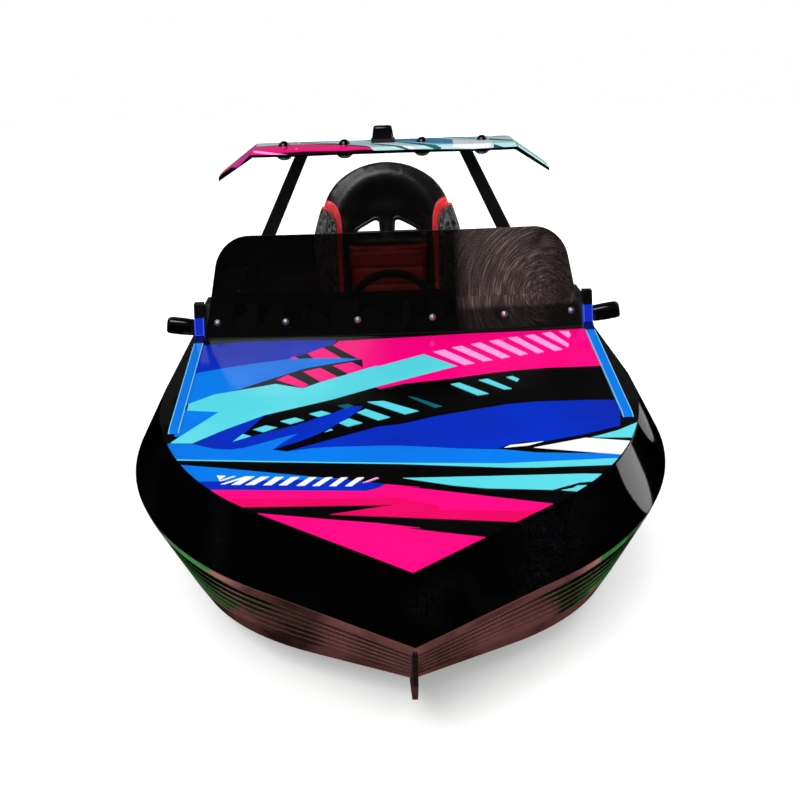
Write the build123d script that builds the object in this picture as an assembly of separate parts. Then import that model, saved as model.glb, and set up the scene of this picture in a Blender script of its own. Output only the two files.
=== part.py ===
"""A one-seat electric jet boat: a blunt wedge of a hull with a black topside band, a bucket seat behind a smoked
windscreen, a lamp wing on two struts at the stern, and a small water jet with a steering nozzle.

Millimetres. The bow points along -Y, the driver's left is +X and +Z is up. Stations (Y) are measured aft from the
foot of the windscreen, and the finished solids are moved along Y so that the origin lies on the ground under the
middle of the boat's length.
"""
import math
import os

from build123d import *

FAR = 4000.0                    # reaches past everything, for cuts

# Hull: half the overall beam, and the stations of its bow, of the start of its parallel part and of its transom
BEAM_HALF = 745.0
BOW = -1170.0
BREAK = -200.0
STERN = 1380.0
STERN_CORNER = 90.0             # plan radius of the transom's corners

# One row a level: half beam, station of its tip, entry angle of its bow line, share of the length that is left for
# the arc of its shoulder, height aft of the break, height at its tip
PAD = dict(half=0.242 * BEAM_HALF, tip=BOW + 450.0, entry=38.0, arc=0.27, z=0.0, z_tip=0.0)
CHINE = dict(half=0.799 * BEAM_HALF, tip=BOW + 180.0, entry=30.0, arc=0.90, z=75.0, z_tip=120.0)
KNUCKLE = dict(half=BEAM_HALF, tip=BOW, entry=33.0, arc=0.93, z=435.0, z_tip=315.0)
SHEER = dict(half=0.859 * BEAM_HALF, tip=BOW + 13.0, entry=35.5, arc=0.70, z=630.0, z_tip=480.0)

# Swages pressed along the side of the lower hull
SWAGE_COUNT = 6
SWAGE_SIDE = (0.30, 0.96)       # shares of the side's height that the ribbed zone spans, counted from the chine
SWAGE_STEM = (0.08, 0.76)       # the same at the stem, where the ribs run in lower
SWAGE_DEPTH = 7.0

# Decks
SIDE_DECK_Z = SHEER["z"] - 45.0
SLOPE = (SHEER["z"] - SHEER["z_tip"]) / (BREAK - SHEER["tip"])
DECK_BREAK = BREAK - (SHEER["z"] - SIDE_DECK_Z) / SLOPE     # the sloping deck meets the level side decks here
DECK_PLATE = 6.0                # thickness of a deck plate
FOREDECK_CORNER = DECK_BREAK - 13.0     # the foredeck plate narrows here to the space between the rails
SCREEN_STATION_Z = SHEER["z"] - SLOPE * BREAK + DECK_PLATE  # top of the foredeck plate at the windscreen
RAIL_INNER = SHEER["half"] - 68.0
RAIL_WIDTH = 28.0
RAIL_FRONT = FOREDECK_CORNER - 45.0
RAIL_PROUD = 5.0                # how far a rail stands above the foredeck plate
RAIL_CAP_Z = SCREEN_STATION_Z + 106.0
RAIL_END = 62.0

# Dash beam and windscreen
SCREEN_LEAN = 16.4              # degrees from upright
SCREEN_ARC = 6200.0             # plan radius
SCREEN_PLATE = 5.0
SCREEN_FOOT_HALF = RAIL_INNER - 1.0
SCREEN_TOP_HALF = SCREEN_FOOT_HALF - 54.0
SCREEN_FOOT_Z = SCREEN_STATION_Z + 4.0
SCREEN_TOP_Z = SCREEN_FOOT_Z + 290.0
SCREEN_CORNER = 108.0
DASH_BACK = 150.0
DASH_TOP_Z = SCREEN_FOOT_Z + 94.0
DASH_WALL = 30.0

# Cockpit well, its floor, and the bays that hold the battery and the motor
WELL_HALF = RAIL_INNER - 102.0
WELL_FRONT = BREAK - 130.0
WELL_STEP = STERN - 580.0       # the well ends here below the shelf behind the seat
WELL_BACK = WELL_STEP + 90.0
SHELF_Z = 330.0
WELL_FLOOR = 90.0
FLOOR_PLATE = 8.0
FLOOR_GAP = 2.0
BAY_HALF = 230.0
BAY_WALL = 20.0
BAY_REAR = STERN - 80.0
BAY_FLOOR = 60.0
HATCH_FRONT = WELL_BACK + 60.0
HATCH_PLATE = 8.0
HATCH_GAP = 5.0
HATCH_LIP = 22.0                # the hatch covers the opening's edge by this much
HINGE_R = 7.0
HINGE_PIN_R = 2.5
HINGE_X = 150.0
HATCH_HINGE_Y = BAY_REAR + HATCH_LIP
HATCH_HINGE_Z = SIDE_DECK_Z + DECK_PLATE + 1.0 + HATCH_PLATE
COAMING_WIDTH = 26.0
COAMING_HEIGHT = 24.0
BATTERY = (360.0, 300.0, 200.0)
BATTERY_ROOM = 10.0
BATTERY_FRONT = WELL_FRONT - BAY_WALL - BATTERY_ROOM - BATTERY[1]

# Steering. The cockpit's length is shared out between the wheel and the seat
COCKPIT = WELL_STEP - DASH_BACK
WHEEL_Y = DASH_BACK + 0.27 * COCKPIT
WHEEL_Z = DASH_TOP_Z - 98.0
COLUMN_TILT = 20.0              # the column falls this much forwards, in degrees
COLUMN_LONG = (WHEEL_Y - DASH_BACK) / math.cos(math.radians(COLUMN_TILT))
WHEEL_R = 130.0
WHEEL_FLAT = 0.72 * WHEEL_R     # from the centre to the bar of its flat foot
RIM_R = 13.0
SPOKE = 6.0                     # thickness of a spoke
HUB_R = 30.0
HUB_BACK = 24.0
SHAFT_R = 10.0
COLUMN_R = 19.0
RUNNING_GAP = 0.08              # radial, between a shaft and its bore

# Seat
SEAT_RECLINE = 11.3
SEAT_FOOT_Y = WELL_STEP - 92.0  # front face of the back at the height of the cushion's underside
SEAT_FOOT_Z = WELL_FLOOR + 100.0
SEAT_THICK = 45.0
SEAT_PAN = 14.0
CUSHION_HALF = 195.0
CUSHION_FRONT = SEAT_FOOT_Y - 0.68 * COCKPIT
CUSHION_TOP = SEAT_FOOT_Z + 102.0
THIGH_TOP = 165.0               # height of the thigh bolsters above the pan
SOFT_GAP = 0.3

# Seat back outline, up the back from the cushion's underside: half width, height
SEAT_HIP = (205.0, 60.0)
SEAT_WAIST = (222.0, 380.0)
SEAT_SHOULDER = (270.0, 610.0)
SEAT_NECK = (232.0, 745.0)
SEAT_CROWN = (195.0, 815.0)
SEAT_HEAD = (130.0, 868.0)
SEAT_TOP = (0.0, 902.0)
HARNESS_HOLE = [(22.0, 640.0), (26.0, 690.0), (44.0, 694.0), (92.0, 652.0), (90.0, 640.0)]

# Wing
WING_FRONT = STERN - 390.0
WING_BACK = WING_FRONT + 300.0
WING_Z = SIDE_DECK_Z + 495.0    # underside
WING_PLATE = 20.0
WING_HALF = RAIL_INNER - 72.0
WING_TIP_HALF = WING_HALF + 132.0
WING_DROP = 92.0
WING_BEVEL = 55.0
LAMP_X = (0.302 * WING_HALF, 0.77 * WING_HALF)
LAMP_Y = WING_FRONT + 190.0
LENS_R = 32.0
LENS_DROP = 32.0
CAP_R = 22.0
CAP_RISE = 18.0
BEACON_Y = LAMP_Y + 25.0
STRUT_FOOT = (RAIL_INNER - 25.0, WING_FRONT + 100.0)
STRUT_HEAD = (0.62 * WING_HALF, WING_FRONT + 130.0)
STRUT_FOOT_SIZE = (60.0, 30.0)
STRUT_HEAD_SIZE = (50.0, 30.0)

# Mirrors
MIRROR_Y = 34.0
MIRROR_Z = RAIL_CAP_Z - 72.0
MIRROR_TIP = 8.5                # the housing rises outwards by this angle
MIRROR_SIZE = (48.0, 44.0, 76.0)

# Water jet
JET_Z = 150.0
BORE_R = 72.0
BORE_FRONT = STERN - 175.0
INTAKE_FRONT = STERN - 430.0
INTAKE_BACK = STERN - 190.0
RAMP_TOP = STERN - 230.0
DUCT_ROOF = JET_Z + BORE_R + 28.0
IMPELLER_FRONT = STERN - 130.0
IMPELLER_LONG = 62.0
IMPELLER_R = BORE_R - 8.0
IMPELLER_HUB = 23.0
BLADES = 4
BLADE_THICK = 5.0
BLADE_TWIST = 68.0              # degrees that a blade winds from end to end
TAIL_R = 8.0                    # the shaft inside the impeller and its rear bearing
MOTOR_R = 85.0
MOTOR_FRONT = WELL_STEP + BAY_WALL + 6.0
MOTOR_BACK = MOTOR_FRONT + 154.0
STATOR_FRONT = STERN - 54.0
STATOR_BACK = STERN - 6.0
STATOR_WALL = 6.0
VANES = 6
OUTLET_R = 46.0
PIVOT_Y = STERN + 90.0
PIVOT_R = 8.0
NOZZLE_FRONT = PIVOT_Y - 12.0
NOZZLE_END = STERN + 210.0
NOZZLE_R = 66.0
NOZZLE_WALL = 8.0
ARM_REACH = 110.0
ARM_HALF = 12.0
ROD_Z = JET_Z + 11.0
ROD_R = 6.0
GRILLE_THICK = 8.0
GRILLE_BARS = 5
GRILLE_BAR = 6.0

# Bow fin
FIN_THICK = 12.0
TOW_HOLE_R = 8.0
TOW_HOLE = (BOW + 78.0, 188.0)

ORIGIN_STATION = (BOW + NOZZLE_END) / 2


def lerp(a, b, t):
    return a + (b - a) * t


def level(low, high, side, stem, inset=0.0):
    """A level between two others, at one share of the way on the side and another at the stem, moved inwards."""
    row = {k: lerp(low[k], high[k], side if k in ("half", "z") else stem) for k in low}
    row["half"] -= inset
    row["tip"] += inset
    return row


def fall(row):
    """Angle by which a level's plane falls towards the bow."""
    return math.atan2(row["z"] - row["z_tip"], BREAK - row["tip"])


def bow_points(row):
    """Break, end of the shoulder arc, its middle, its start and the tip, on the level's own plane."""
    half, entry = row["half"], math.radians(row["entry"])
    length = (BREAK - row["tip"]) / math.cos(fall(row))
    corner = -length + half * math.tan(entry)
    tangent = -corner * row["arc"]
    half_turn = (math.pi / 2 - entry) / 2
    radius = tangent / math.tan(half_turn)
    start = (half - tangent * math.cos(entry), corner - tangent * math.sin(entry))
    middle = (half - radius * (1 - math.cos(half_turn)), corner + tangent - radius * math.sin(half_turn))
    return (half, 0.0), (half, corner + tangent), middle, start, (0.0, -length)


def bow_outline(row):
    """Closed outline of the hull at one level, from the break to the bow."""
    at_break, arc_end, middle, arc_start, tip = bow_points(row)
    flip = lambda p: (-p[0], p[1])
    edges = [
        Line(at_break, arc_end),
        ThreePointArc(arc_end, middle, arc_start),
        Line(arc_start, tip),
        Line(tip, flip(arc_start)),
        ThreePointArc(flip(arc_start), flip(middle), flip(arc_end)),
        Line(flip(arc_end), flip(at_break)),
        Line(flip(at_break), at_break),
    ]
    tilt = fall(row)
    plane = Plane(origin=(0, BREAK, row["z"]), x_dir=(1, 0, 0), z_dir=(0, -math.sin(tilt), math.cos(tilt)))
    return plane * make_face(edges)


def side_view(points, half):
    """A prism across the boat: its outline is in (station, height), its sides are at +half and -half."""
    return side_slab(points, -half, half)


def side_slab(points, x0, x1):
    """A prism across the boat between two values of X, with its outline in (station, height)."""
    face = Plane.YZ * Polygon(*points, align=None)
    return Pos(x0, 0, 0) * extrude(face, x1 - x0, dir=(1, 0, 0))


def front_slab(points, y0, y1):
    """A prism along the boat between two stations, with its outline in (X, height)."""
    face = Plane.XZ * Polygon(*points, align=None)
    return Pos(0, y0, 0) * extrude(face, y1 - y0, dir=(0, 1, 0))


def plan_slab(points, z0, z1):
    """An upright prism between two heights, with its outline in (X, station)."""
    return Pos(0, 0, z0) * extrude(Polygon(*points, align=None), z1 - z0, dir=(0, 0, 1))


def box(x, y, z):
    """A box from three (low, high) pairs."""
    size = (x[1] - x[0], y[1] - y[0], z[1] - z[0])
    return Pos(x[0], y[0], z[0]) * Box(*size, align=(Align.MIN, Align.MIN, Align.MIN))


def tube_y(radius, y, z=JET_Z, x=0.0):
    """A cylinder along Y between two stations."""
    return Pos(x, y[0], z) * Rot(-90, 0, 0) * Cylinder(radius, y[1] - y[0], align=(Align.CENTER, Align.CENTER, Align.MIN))


def pair(solid):
    """A piece and its mirror image across the middle of the boat, as one node of two solids."""
    return Compound([*solid.solids(), *mirror(solid, Plane.YZ).solids()])


def section_prism(rows):
    """The unchanging part of the hull, from the break to the transom."""
    right = [(r["half"], r["z"]) for r in rows]
    left = [(-x, z) for x, z in reversed(right)]
    return front_slab([*right, *left], BREAK, STERN)


def swage_levels():
    """Levels of the lower hull's side: the ribs stand on the plain side, and the grooves go in between them."""
    rows = []
    steps = 2 * SWAGE_COUNT
    for i in range(steps + 1):
        side, stem = lerp(*SWAGE_SIDE, i / steps), lerp(*SWAGE_STEM, i / steps)
        rows.append(level(CHINE, KNUCKLE, side, stem, inset=SWAGE_DEPTH if i % 2 else 0.0))
    return rows


def stern_trim():
    """Everything ahead of the transom's rounded corners."""
    plan = Pos(0, STERN - FAR / 2, 0) * RectangleRounded(2 * BEAM_HALF, FAR, STERN_CORNER)
    front = Pos(0, BREAK - FAR / 2, 0) * Rectangle(FAR, FAR)
    return extrude(plan + front, FAR)


def tub():
    """The cockpit well, from its floor up, with the room for the bulkhead that closes it."""
    step, shelf_end = WELL_STEP + BAY_WALL, WELL_BACK + BAY_WALL
    return side_view([
        (WELL_FRONT, WELL_FLOOR), (step, WELL_FLOOR), (step, SHELF_Z - BAY_WALL), (shelf_end, SHELF_Z - BAY_WALL),
        (shelf_end, FAR), (WELL_FRONT, FAR),
    ], WELL_HALF)


def rear_bulkhead():
    """The moulding between the cockpit and the motor bay: a wall behind the seat, the shelf and the wall above it."""
    step, shelf_end = WELL_STEP + BAY_WALL, WELL_BACK + BAY_WALL
    return side_view([
        (WELL_STEP, WELL_FLOOR), (step, WELL_FLOOR), (step, SHELF_Z - BAY_WALL), (shelf_end, SHELF_Z - BAY_WALL),
        (shelf_end, SIDE_DECK_Z), (WELL_BACK, SIDE_DECK_Z), (WELL_BACK, SHELF_Z), (WELL_STEP, SHELF_Z),
    ], WELL_HALF - SOFT_GAP)


def motor_bay():
    """The bay behind and below the shelf. Its floor steps up over the intake duct."""
    front = WELL_STEP + BAY_WALL
    shelf_end = WELL_BACK + BAY_WALL
    return side_view([
        (front, BAY_FLOOR), (MOTOR_BACK + 5, BAY_FLOOR), (RAMP_TOP + 10, DUCT_ROOF), (BAY_REAR, DUCT_ROOF),
        (BAY_REAR, FAR), (shelf_end, FAR), (shelf_end, SHELF_Z - BAY_WALL), (front, SHELF_Z - BAY_WALL),
    ], BAY_HALF)


def intake_duct():
    """The way of the water: a ramp up from the bottom and the pump's bore to the transom."""
    ramp = side_view([
        (INTAKE_FRONT, -5), (INTAKE_BACK, -5), (BORE_FRONT + 10, JET_Z - BORE_R), (BORE_FRONT + 10, JET_Z + BORE_R),
        (RAMP_TOP, JET_Z + BORE_R),
    ], BORE_R)
    return ramp + tube_y(BORE_R, (BORE_FRONT, STERN + 5))


def jet_block(gap=0.0):
    """The outline of the intake moulding, which fills a slot in the hull's bottom, grown by a gap."""
    front, roof = INTAKE_FRONT - 25 - gap, DUCT_ROOF + gap
    return side_view([
        (front, -gap), (STERN + gap, -gap), (STERN + gap, roof), (RAMP_TOP + 10, roof),
        (MOTOR_BACK + 5, BAY_FLOOR + gap), (front, BAY_FLOOR + gap),
    ], BORE_R + 20 + gap)


def jet_intake():
    """The intake moulding, with the water's ramp, the pump's bore and the way of the drive shaft."""
    return jet_block() - intake_duct() - tube_y(SHAFT_R + 6, (MOTOR_BACK - 10, BORE_FRONT))


def battery_bay():
    wide, long, high = (v + 2 * BATTERY_ROOM for v in BATTERY)
    start = BATTERY_FRONT - BATTERY_ROOM
    return box((-wide / 2, wide / 2), (start, start + long), (WELL_FLOOR, WELL_FLOOR + high))


def lower_hull():
    side = swage_levels()
    bow = loft([bow_outline(r) for r in [PAD, CHINE, *side, KNUCKLE]], ruled=True)
    hull = bow + section_prism([PAD, CHINE, *side, KNUCKLE])
    hull = hull & stern_trim()
    rod_way = tube_y(ROD_R + 2, (STERN - 145, STERN + 5), z=ROD_Z, x=ARM_REACH)
    for cut in (tub(), motor_bay(), jet_block(SOFT_GAP), battery_bay(), rod_way):
        hull -= cut
    return hull


def topsides():
    body = loft([bow_outline(KNUCKLE), bow_outline(SHEER)], ruled=True)
    body += section_prism([KNUCKLE, SHEER])
    body = body & stern_trim()
    body -= box((-FAR, FAR), (-FAR, FAR), (SIDE_DECK_Z, FAR))
    return body - tub() - motor_bay()


def foredeck_z(y, lift=0.0):
    """Height of the sheer's plane, which the foredeck follows up to the windscreen, or of a face lift above it."""
    return SHEER["z_tip"] + SLOPE * (y - SHEER["tip"]) + lift / math.cos(fall(SHEER))


def foredeck():
    """One plate: the whole bow ahead of the rails, then the strip between them up to the windscreen."""
    tilt = fall(SHEER)
    outline = bow_outline(SHEER)
    thick = Vector(0, -math.sin(tilt), math.cos(tilt)) * DECK_PLATE
    bow = extrude(outline, amount=DECK_PLATE, dir=thick)
    bow &= box((-FAR, FAR), (-FAR, FOREDECK_CORNER), (0, FAR))
    front = FOREDECK_CORNER - 1
    strip = side_view([
        (front, foredeck_z(front)), (0, foredeck_z(0)), (0, foredeck_z(0, DECK_PLATE)),
        (front, foredeck_z(front, DECK_PLATE)),
    ], RAIL_INNER)
    return bow + strip


def rail():
    """A side rail of the foredeck: it closes the wedge above the side deck and turns up beside the dash beam."""
    inner, outer = RAIL_INNER, RAIL_INNER + RAIL_WIDTH
    lift = DECK_PLATE + RAIL_PROUD
    return side_slab([
        (FOREDECK_CORNER, foredeck_z(FOREDECK_CORNER)), (DECK_BREAK, SIDE_DECK_Z), (RAIL_END, SIDE_DECK_Z),
        (RAIL_END, RAIL_CAP_Z), (RAIL_END - 28, RAIL_CAP_Z), (6, foredeck_z(0, lift + 12)),
        (-20, foredeck_z(-20, lift)),
        (RAIL_FRONT + 20, foredeck_z(RAIL_FRONT + 20, lift)), (RAIL_FRONT, foredeck_z(RAIL_FRONT, DECK_PLATE)),
        (FOREDECK_CORNER, foredeck_z(FOREDECK_CORNER, DECK_PLATE)),
    ], inner, outer)


def screen_slab(front, back):
    """A slab between two depths behind the windscreen's face, curved in plan and leaning back."""
    half = RAIL_INNER + 130.0
    sag = lambda r: r - math.sqrt(r * r - half * half)
    outer, inner = SCREEN_ARC - front, SCREEN_ARC - back
    plan = make_face([
        ThreePointArc((-half, front + sag(outer)), (0, front), (half, front + sag(outer))),
        Line((half, front + sag(outer)), (half, back + sag(inner))),
        ThreePointArc((half, back + sag(inner)), (0, back), (-half, back + sag(inner))),
        Line((-half, back + sag(inner)), (-half, front + sag(outer))),
    ])
    lean = math.radians(SCREEN_LEAN)
    base = Pos(0, -math.tan(lean) * SCREEN_FOOT_Z, 0) * plan
    return extrude(base, amount=2 * SCREEN_TOP_Z, dir=(0, math.sin(lean), math.cos(lean)))


def windscreen():
    front = front_slab([
        (-SCREEN_FOOT_HALF, SCREEN_FOOT_Z), (SCREEN_FOOT_HALF, SCREEN_FOOT_Z),
        (SCREEN_TOP_HALF, SCREEN_TOP_Z), (-SCREEN_TOP_HALF, SCREEN_TOP_Z),
    ], -SCREEN_TOP_Z, SCREEN_TOP_Z)
    corners = front.edges().filter_by(Axis.Y).group_by(Axis.Z)[-1]
    return screen_slab(0, SCREEN_PLATE) & fillet(corners, SCREEN_CORNER)


def dash_beam():
    """The black cross beam that carries the windscreen's foot."""
    reach, sole = RAIL_INNER, foredeck_z(0, DECK_PLATE)
    beam = side_view([
        (0, SIDE_DECK_Z), (DASH_BACK, SIDE_DECK_Z), (DASH_BACK, DASH_TOP_Z), (-FAR / 40, DASH_TOP_Z),
        (-FAR / 40, sole), (0, sole),
    ], reach)
    beam &= screen_slab(SCREEN_PLATE, 3 * DASH_BACK)
    legs = DASH_BACK - DASH_WALL
    return beam - box((-WELL_HALF, WELL_HALF), (legs - 70, legs), (0, DASH_TOP_Z - 60))


def column_plane(distance=0.0):
    """A plane square to the steering column, at a distance from the wheel's centre towards the driver."""
    tilt = math.radians(COLUMN_TILT)
    axis = Vector(0, math.cos(tilt), math.sin(tilt))
    return Plane(origin=Vector(0, WHEEL_Y, WHEEL_Z) + axis * distance, x_dir=(-1, 0, 0), z_dir=axis)


def steering_wheel():
    """A flat-bottomed kart wheel: rim, three spokes and a hub."""
    rim = Torus(WHEEL_R, RIM_R) & Pos(0, FAR / 2 - WHEEL_FLAT, 0) * Box(FAR, FAR, FAR)
    chord = math.sqrt(WHEEL_R ** 2 - WHEEL_FLAT ** 2)
    bar = Pos(0, -WHEEL_FLAT, 0) * Rot(0, 90, 0) * Cylinder(RIM_R, 2 * chord)
    wheel = rim + bar + Pos(-chord, -WHEEL_FLAT, 0) * Sphere(RIM_R) + Pos(chord, -WHEEL_FLAT, 0) * Sphere(RIM_R)
    wheel += Pos(0, 0, -SPOKE / 2) * Box(2 * WHEEL_R, 34, SPOKE)
    wheel += Pos(0, -WHEEL_FLAT / 2, -SPOKE / 2) * Box(40, WHEEL_FLAT, SPOKE)
    hub = Pos(0, 0, -HUB_BACK) * Cylinder(HUB_R, HUB_BACK + SPOKE, align=(Align.CENTER, Align.CENTER, Align.MIN))
    return column_plane() * (wheel + hub)


def helm_shaft():
    return column_plane(SHAFT_R - COLUMN_LONG) * Cylinder(
        SHAFT_R, COLUMN_LONG - SHAFT_R - HUB_BACK, align=(Align.CENTER, Align.CENTER, Align.MIN))


def steering_column():
    """The fixed tube round the helm shaft, with its flange on the dash beam."""
    tube = column_plane(-COLUMN_LONG - 2 * COLUMN_R) * Cylinder(
        COLUMN_R, COLUMN_LONG + 2 * COLUMN_R - HUB_BACK - 16, align=(Align.CENTER, Align.CENTER, Align.MIN))
    foot = WHEEL_Z - (WHEEL_Y - DASH_BACK) * math.tan(math.radians(COLUMN_TILT))
    body = tube & box((-FAR, FAR), (DASH_BACK, FAR), (0, FAR))
    body += box((-50, 50), (DASH_BACK, DASH_BACK + 10), (foot - 50, foot + 50))
    bore = Cylinder(SHAFT_R + RUNNING_GAP, FAR, align=(Align.CENTER, Align.CENTER, Align.MIN))
    return body - column_plane(-COLUMN_LONG - 1) * bore


def seat_plane(depth=0.0):
    """The plane of the seat back's front face: local X is the boat's, local Y runs up the back."""
    lean = math.radians(SEAT_RECLINE)
    normal = Vector(0, -math.cos(lean), math.sin(lean))
    return Plane(origin=Vector(0, SEAT_FOOT_Y, SEAT_FOOT_Z) - normal * depth, x_dir=(1, 0, 0), z_dir=normal)


def seat_outline():
    points = [SEAT_HIP, SEAT_WAIST, SEAT_SHOULDER, SEAT_NECK]
    flip = lambda p: (-p[0], p[1])
    return make_face([
        Polyline(*[flip(p) for p in reversed(points)], *points),
        ThreePointArc(SEAT_NECK, SEAT_CROWN, SEAT_HEAD),
        ThreePointArc(SEAT_HEAD, SEAT_TOP, flip(SEAT_HEAD)),
        ThreePointArc(flip(SEAT_HEAD), flip(SEAT_CROWN), flip(SEAT_NECK)),
    ])


def seat_shell():
    """The back and the pan, with the two harness openings."""
    back = seat_plane(SEAT_THICK) * extrude(seat_outline(), SEAT_THICK)
    for sign in (1, -1):
        hole = Polygon(*[(sign * x, y) for x, y in HARNESS_HOLE], align=None)
        back -= seat_plane(SEAT_THICK + 5) * extrude(hole, SEAT_THICK + 10, dir=(0, 0, 1))
    side = CUSHION_HALF + 50
    sole = SEAT_FOOT_Z - SEAT_PAN
    pan = box((-side, side), (CUSHION_FRONT, SEAT_FOOT_Y + 20), (sole, SEAT_FOOT_Z))
    foot = side_view([
        (SEAT_FOOT_Y, sole), (SEAT_FOOT_Y + SEAT_THICK + 3, sole),
        (SEAT_FOOT_Y + SEAT_THICK + 27, SEAT_FOOT_Z + SEAT_HIP[1] + 20), (SEAT_FOOT_Y + 18, SEAT_FOOT_Z + SEAT_HIP[1] + 20),
    ], SEAT_HIP[0])
    return back + pan + foot


def seat_bolster():
    """A shoulder and rib bolster: it stands forward of the back along its edge."""
    reach = 95.0
    inner = 150.0
    face = make_face(Polyline(
        (inner + 8, 130), SEAT_HIP[:1] + (130.0,), SEAT_WAIST, SEAT_SHOULDER, SEAT_NECK, (inner + 45, 700),
        (inner + 22, 600), (inner + 8, 380), close=True))
    body = seat_plane(-SOFT_GAP) * extrude(face, reach)
    low, high = SEAT_FOOT_Z + THIGH_TOP + 2, SEAT_FOOT_Z + SEAT_SHOULDER[1]
    front = SEAT_FOOT_Y - reach
    slope = side_view([(front - 500, high - 410), (front + 210, high + 440), (front - 500, high + 440)], FAR)
    return body - slope - box((-FAR, FAR), (-FAR, FAR), (0, low))


def seat_cushion():
    lean = math.tan(math.radians(SEAT_RECLINE))
    z0 = SEAT_FOOT_Z + SOFT_GAP
    back = lambda z: SEAT_FOOT_Y + (z - SEAT_FOOT_Z) * lean - 2.0
    body = side_view([
        (CUSHION_FRONT + 5, z0), (back(z0), z0), (back(CUSHION_TOP - 12), CUSHION_TOP - 12),
        (CUSHION_FRONT + 60, CUSHION_TOP + 16),
        (CUSHION_FRONT + 15, CUSHION_TOP - 4), (CUSHION_FRONT + 5, z0 + 40),
    ], CUSHION_HALF - 30)
    return body


def thigh_bolster():
    """The raised side of the seat's base."""
    z0 = SEAT_FOOT_Z + SOFT_GAP
    return side_slab([
        (CUSHION_FRONT + 10, z0), (SEAT_FOOT_Y - 2, z0), (SEAT_FOOT_Y + 22, z0 + 135), (SEAT_FOOT_Y - 90, z0 + THIGH_TOP),
        (CUSHION_FRONT + 90, z0 + 150), (CUSHION_FRONT + 20, z0 + 110),
    ], CUSHION_HALF - 30 + SOFT_GAP, CUSHION_HALF + 48)


def seat_back_pad():
    """The middle pad of the back, between the rib bolsters."""
    face = Polygon((-140, 118), (140, 118), (150, 600), (-150, 600), align=None)
    body = seat_plane(-SOFT_GAP) * extrude(face, 28)
    return body - box((-FAR, FAR), (-FAR, FAR), (0, CUSHION_TOP + 18))


def seat_frame():
    """Two side mounts between the cockpit floor and the seat's pan."""
    top = SEAT_FOOT_Z - SEAT_PAN
    floor = WELL_FLOOR + FLOOR_PLATE
    length = (CUSHION_FRONT + 90, SEAT_FOOT_Y - 8)
    outer = CUSHION_HALF - 5
    mount = box((outer - 40, outer), length, (floor, floor + 6)) + box((outer - 40, outer), length, (top - 6, top))
    mount += box((outer - 24, outer - 18), (length[0] + 20, length[1] - 20), (floor, top))
    return pair(mount)


def pedal(x):
    """A foot pedal with its arm and base on the cockpit floor."""
    arm = side_view([(35, 4), (55, 4), (15, 118), (-15, 128)], 8)
    plate = side_view([(-11, 95), (-1, 92), (-35, 220), (-47, 216)], 38)
    base = box((-35, 35), (0, 100), (0, 8))
    return Pos(x, WELL_FRONT + 115, WELL_FLOOR + FLOOR_PLATE) * (base + arm + plate)


def wing_panel():
    """A folded plate: flat across the middle, with drooping swept tips."""
    fold, tip, low = WING_HALF, WING_TIP_HALF, WING_Z - WING_DROP
    top = WING_Z + WING_PLATE
    body = front_slab([
        (-tip, low), (-tip, low + WING_PLATE * 0.8), (-fold, top), (fold, top), (tip, low + WING_PLATE * 0.8),
        (tip, low), (fold - 8, WING_Z), (-fold + 8, WING_Z),
    ], WING_FRONT, WING_BACK)
    body &= plan_slab([
        (-tip, WING_FRONT + 70), (-fold, WING_FRONT + 12), (-330, WING_FRONT), (-150, WING_FRONT + 16),
        (150, WING_FRONT + 16), (330, WING_FRONT), (fold, WING_FRONT + 12), (tip, WING_FRONT + 70),
        (tip, WING_BACK - 100), (fold, WING_BACK), (-fold, WING_BACK), (-tip, WING_BACK - 100),
    ], WING_Z - 200, WING_Z + 200)
    bevel = side_view([
        (WING_FRONT - 1, WING_Z + WING_PLATE / 3), (WING_FRONT - 1, top + 1), (WING_FRONT + WING_BEVEL, top + 1),
        (WING_FRONT + WING_BEVEL, top),
    ], fold + 5)
    return body - bevel


def wing_strut():
    foot = Pos(STRUT_FOOT[0], STRUT_FOOT[1], SIDE_DECK_Z + DECK_PLATE) * Rectangle(*STRUT_FOOT_SIZE)
    head = Pos(STRUT_HEAD[0], STRUT_HEAD[1], WING_Z) * Rectangle(*STRUT_HEAD_SIZE)
    flange = Pos(STRUT_FOOT[0], STRUT_FOOT[1], SIDE_DECK_Z + DECK_PLATE) * Box(
        96, 120, 8, align=(Align.CENTER, Align.CENTER, Align.MIN))
    return loft([foot, head], ruled=True) + flange


def dome(radius, rise):
    """A spherical cap on the XY plane."""
    ball = (radius ** 2 + rise ** 2) / (2 * rise)
    cap = Pos(0, 0, rise - ball) * Sphere(ball)
    return cap & Pos(0, 0, 0) * Box(4 * radius, 4 * radius, 2 * rise, align=(Align.CENTER, Align.CENTER, Align.MIN))


def lamps(under):
    """The four lamps of the wing: caps on top of it, or lenses under it."""
    parts = []
    for x in (-LAMP_X[1], -LAMP_X[0], LAMP_X[0], LAMP_X[1]):
        if under:
            parts.append(Pos(x, LAMP_Y, WING_Z) * Rot(180, 0, 0) * dome(LENS_R, LENS_DROP))
        else:
            parts.append(Pos(x, LAMP_Y, WING_Z + WING_PLATE) * dome(CAP_R, CAP_RISE))
    return Compound(parts)


def beacon(part):
    """The beacon in the middle of the wing: a base and a tapered cover."""
    z = WING_Z + WING_PLATE
    y = BEACON_Y
    if part == "base":
        return Pos(0, y, z) * extrude(RectangleRounded(94, 74, 12), 12)
    low = Pos(0, y, z + 12) * RectangleRounded(86, 66, 12)
    high = Pos(0, y, z + 62) * RectangleRounded(72, 54, 10)
    return loft([low, high])


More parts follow.
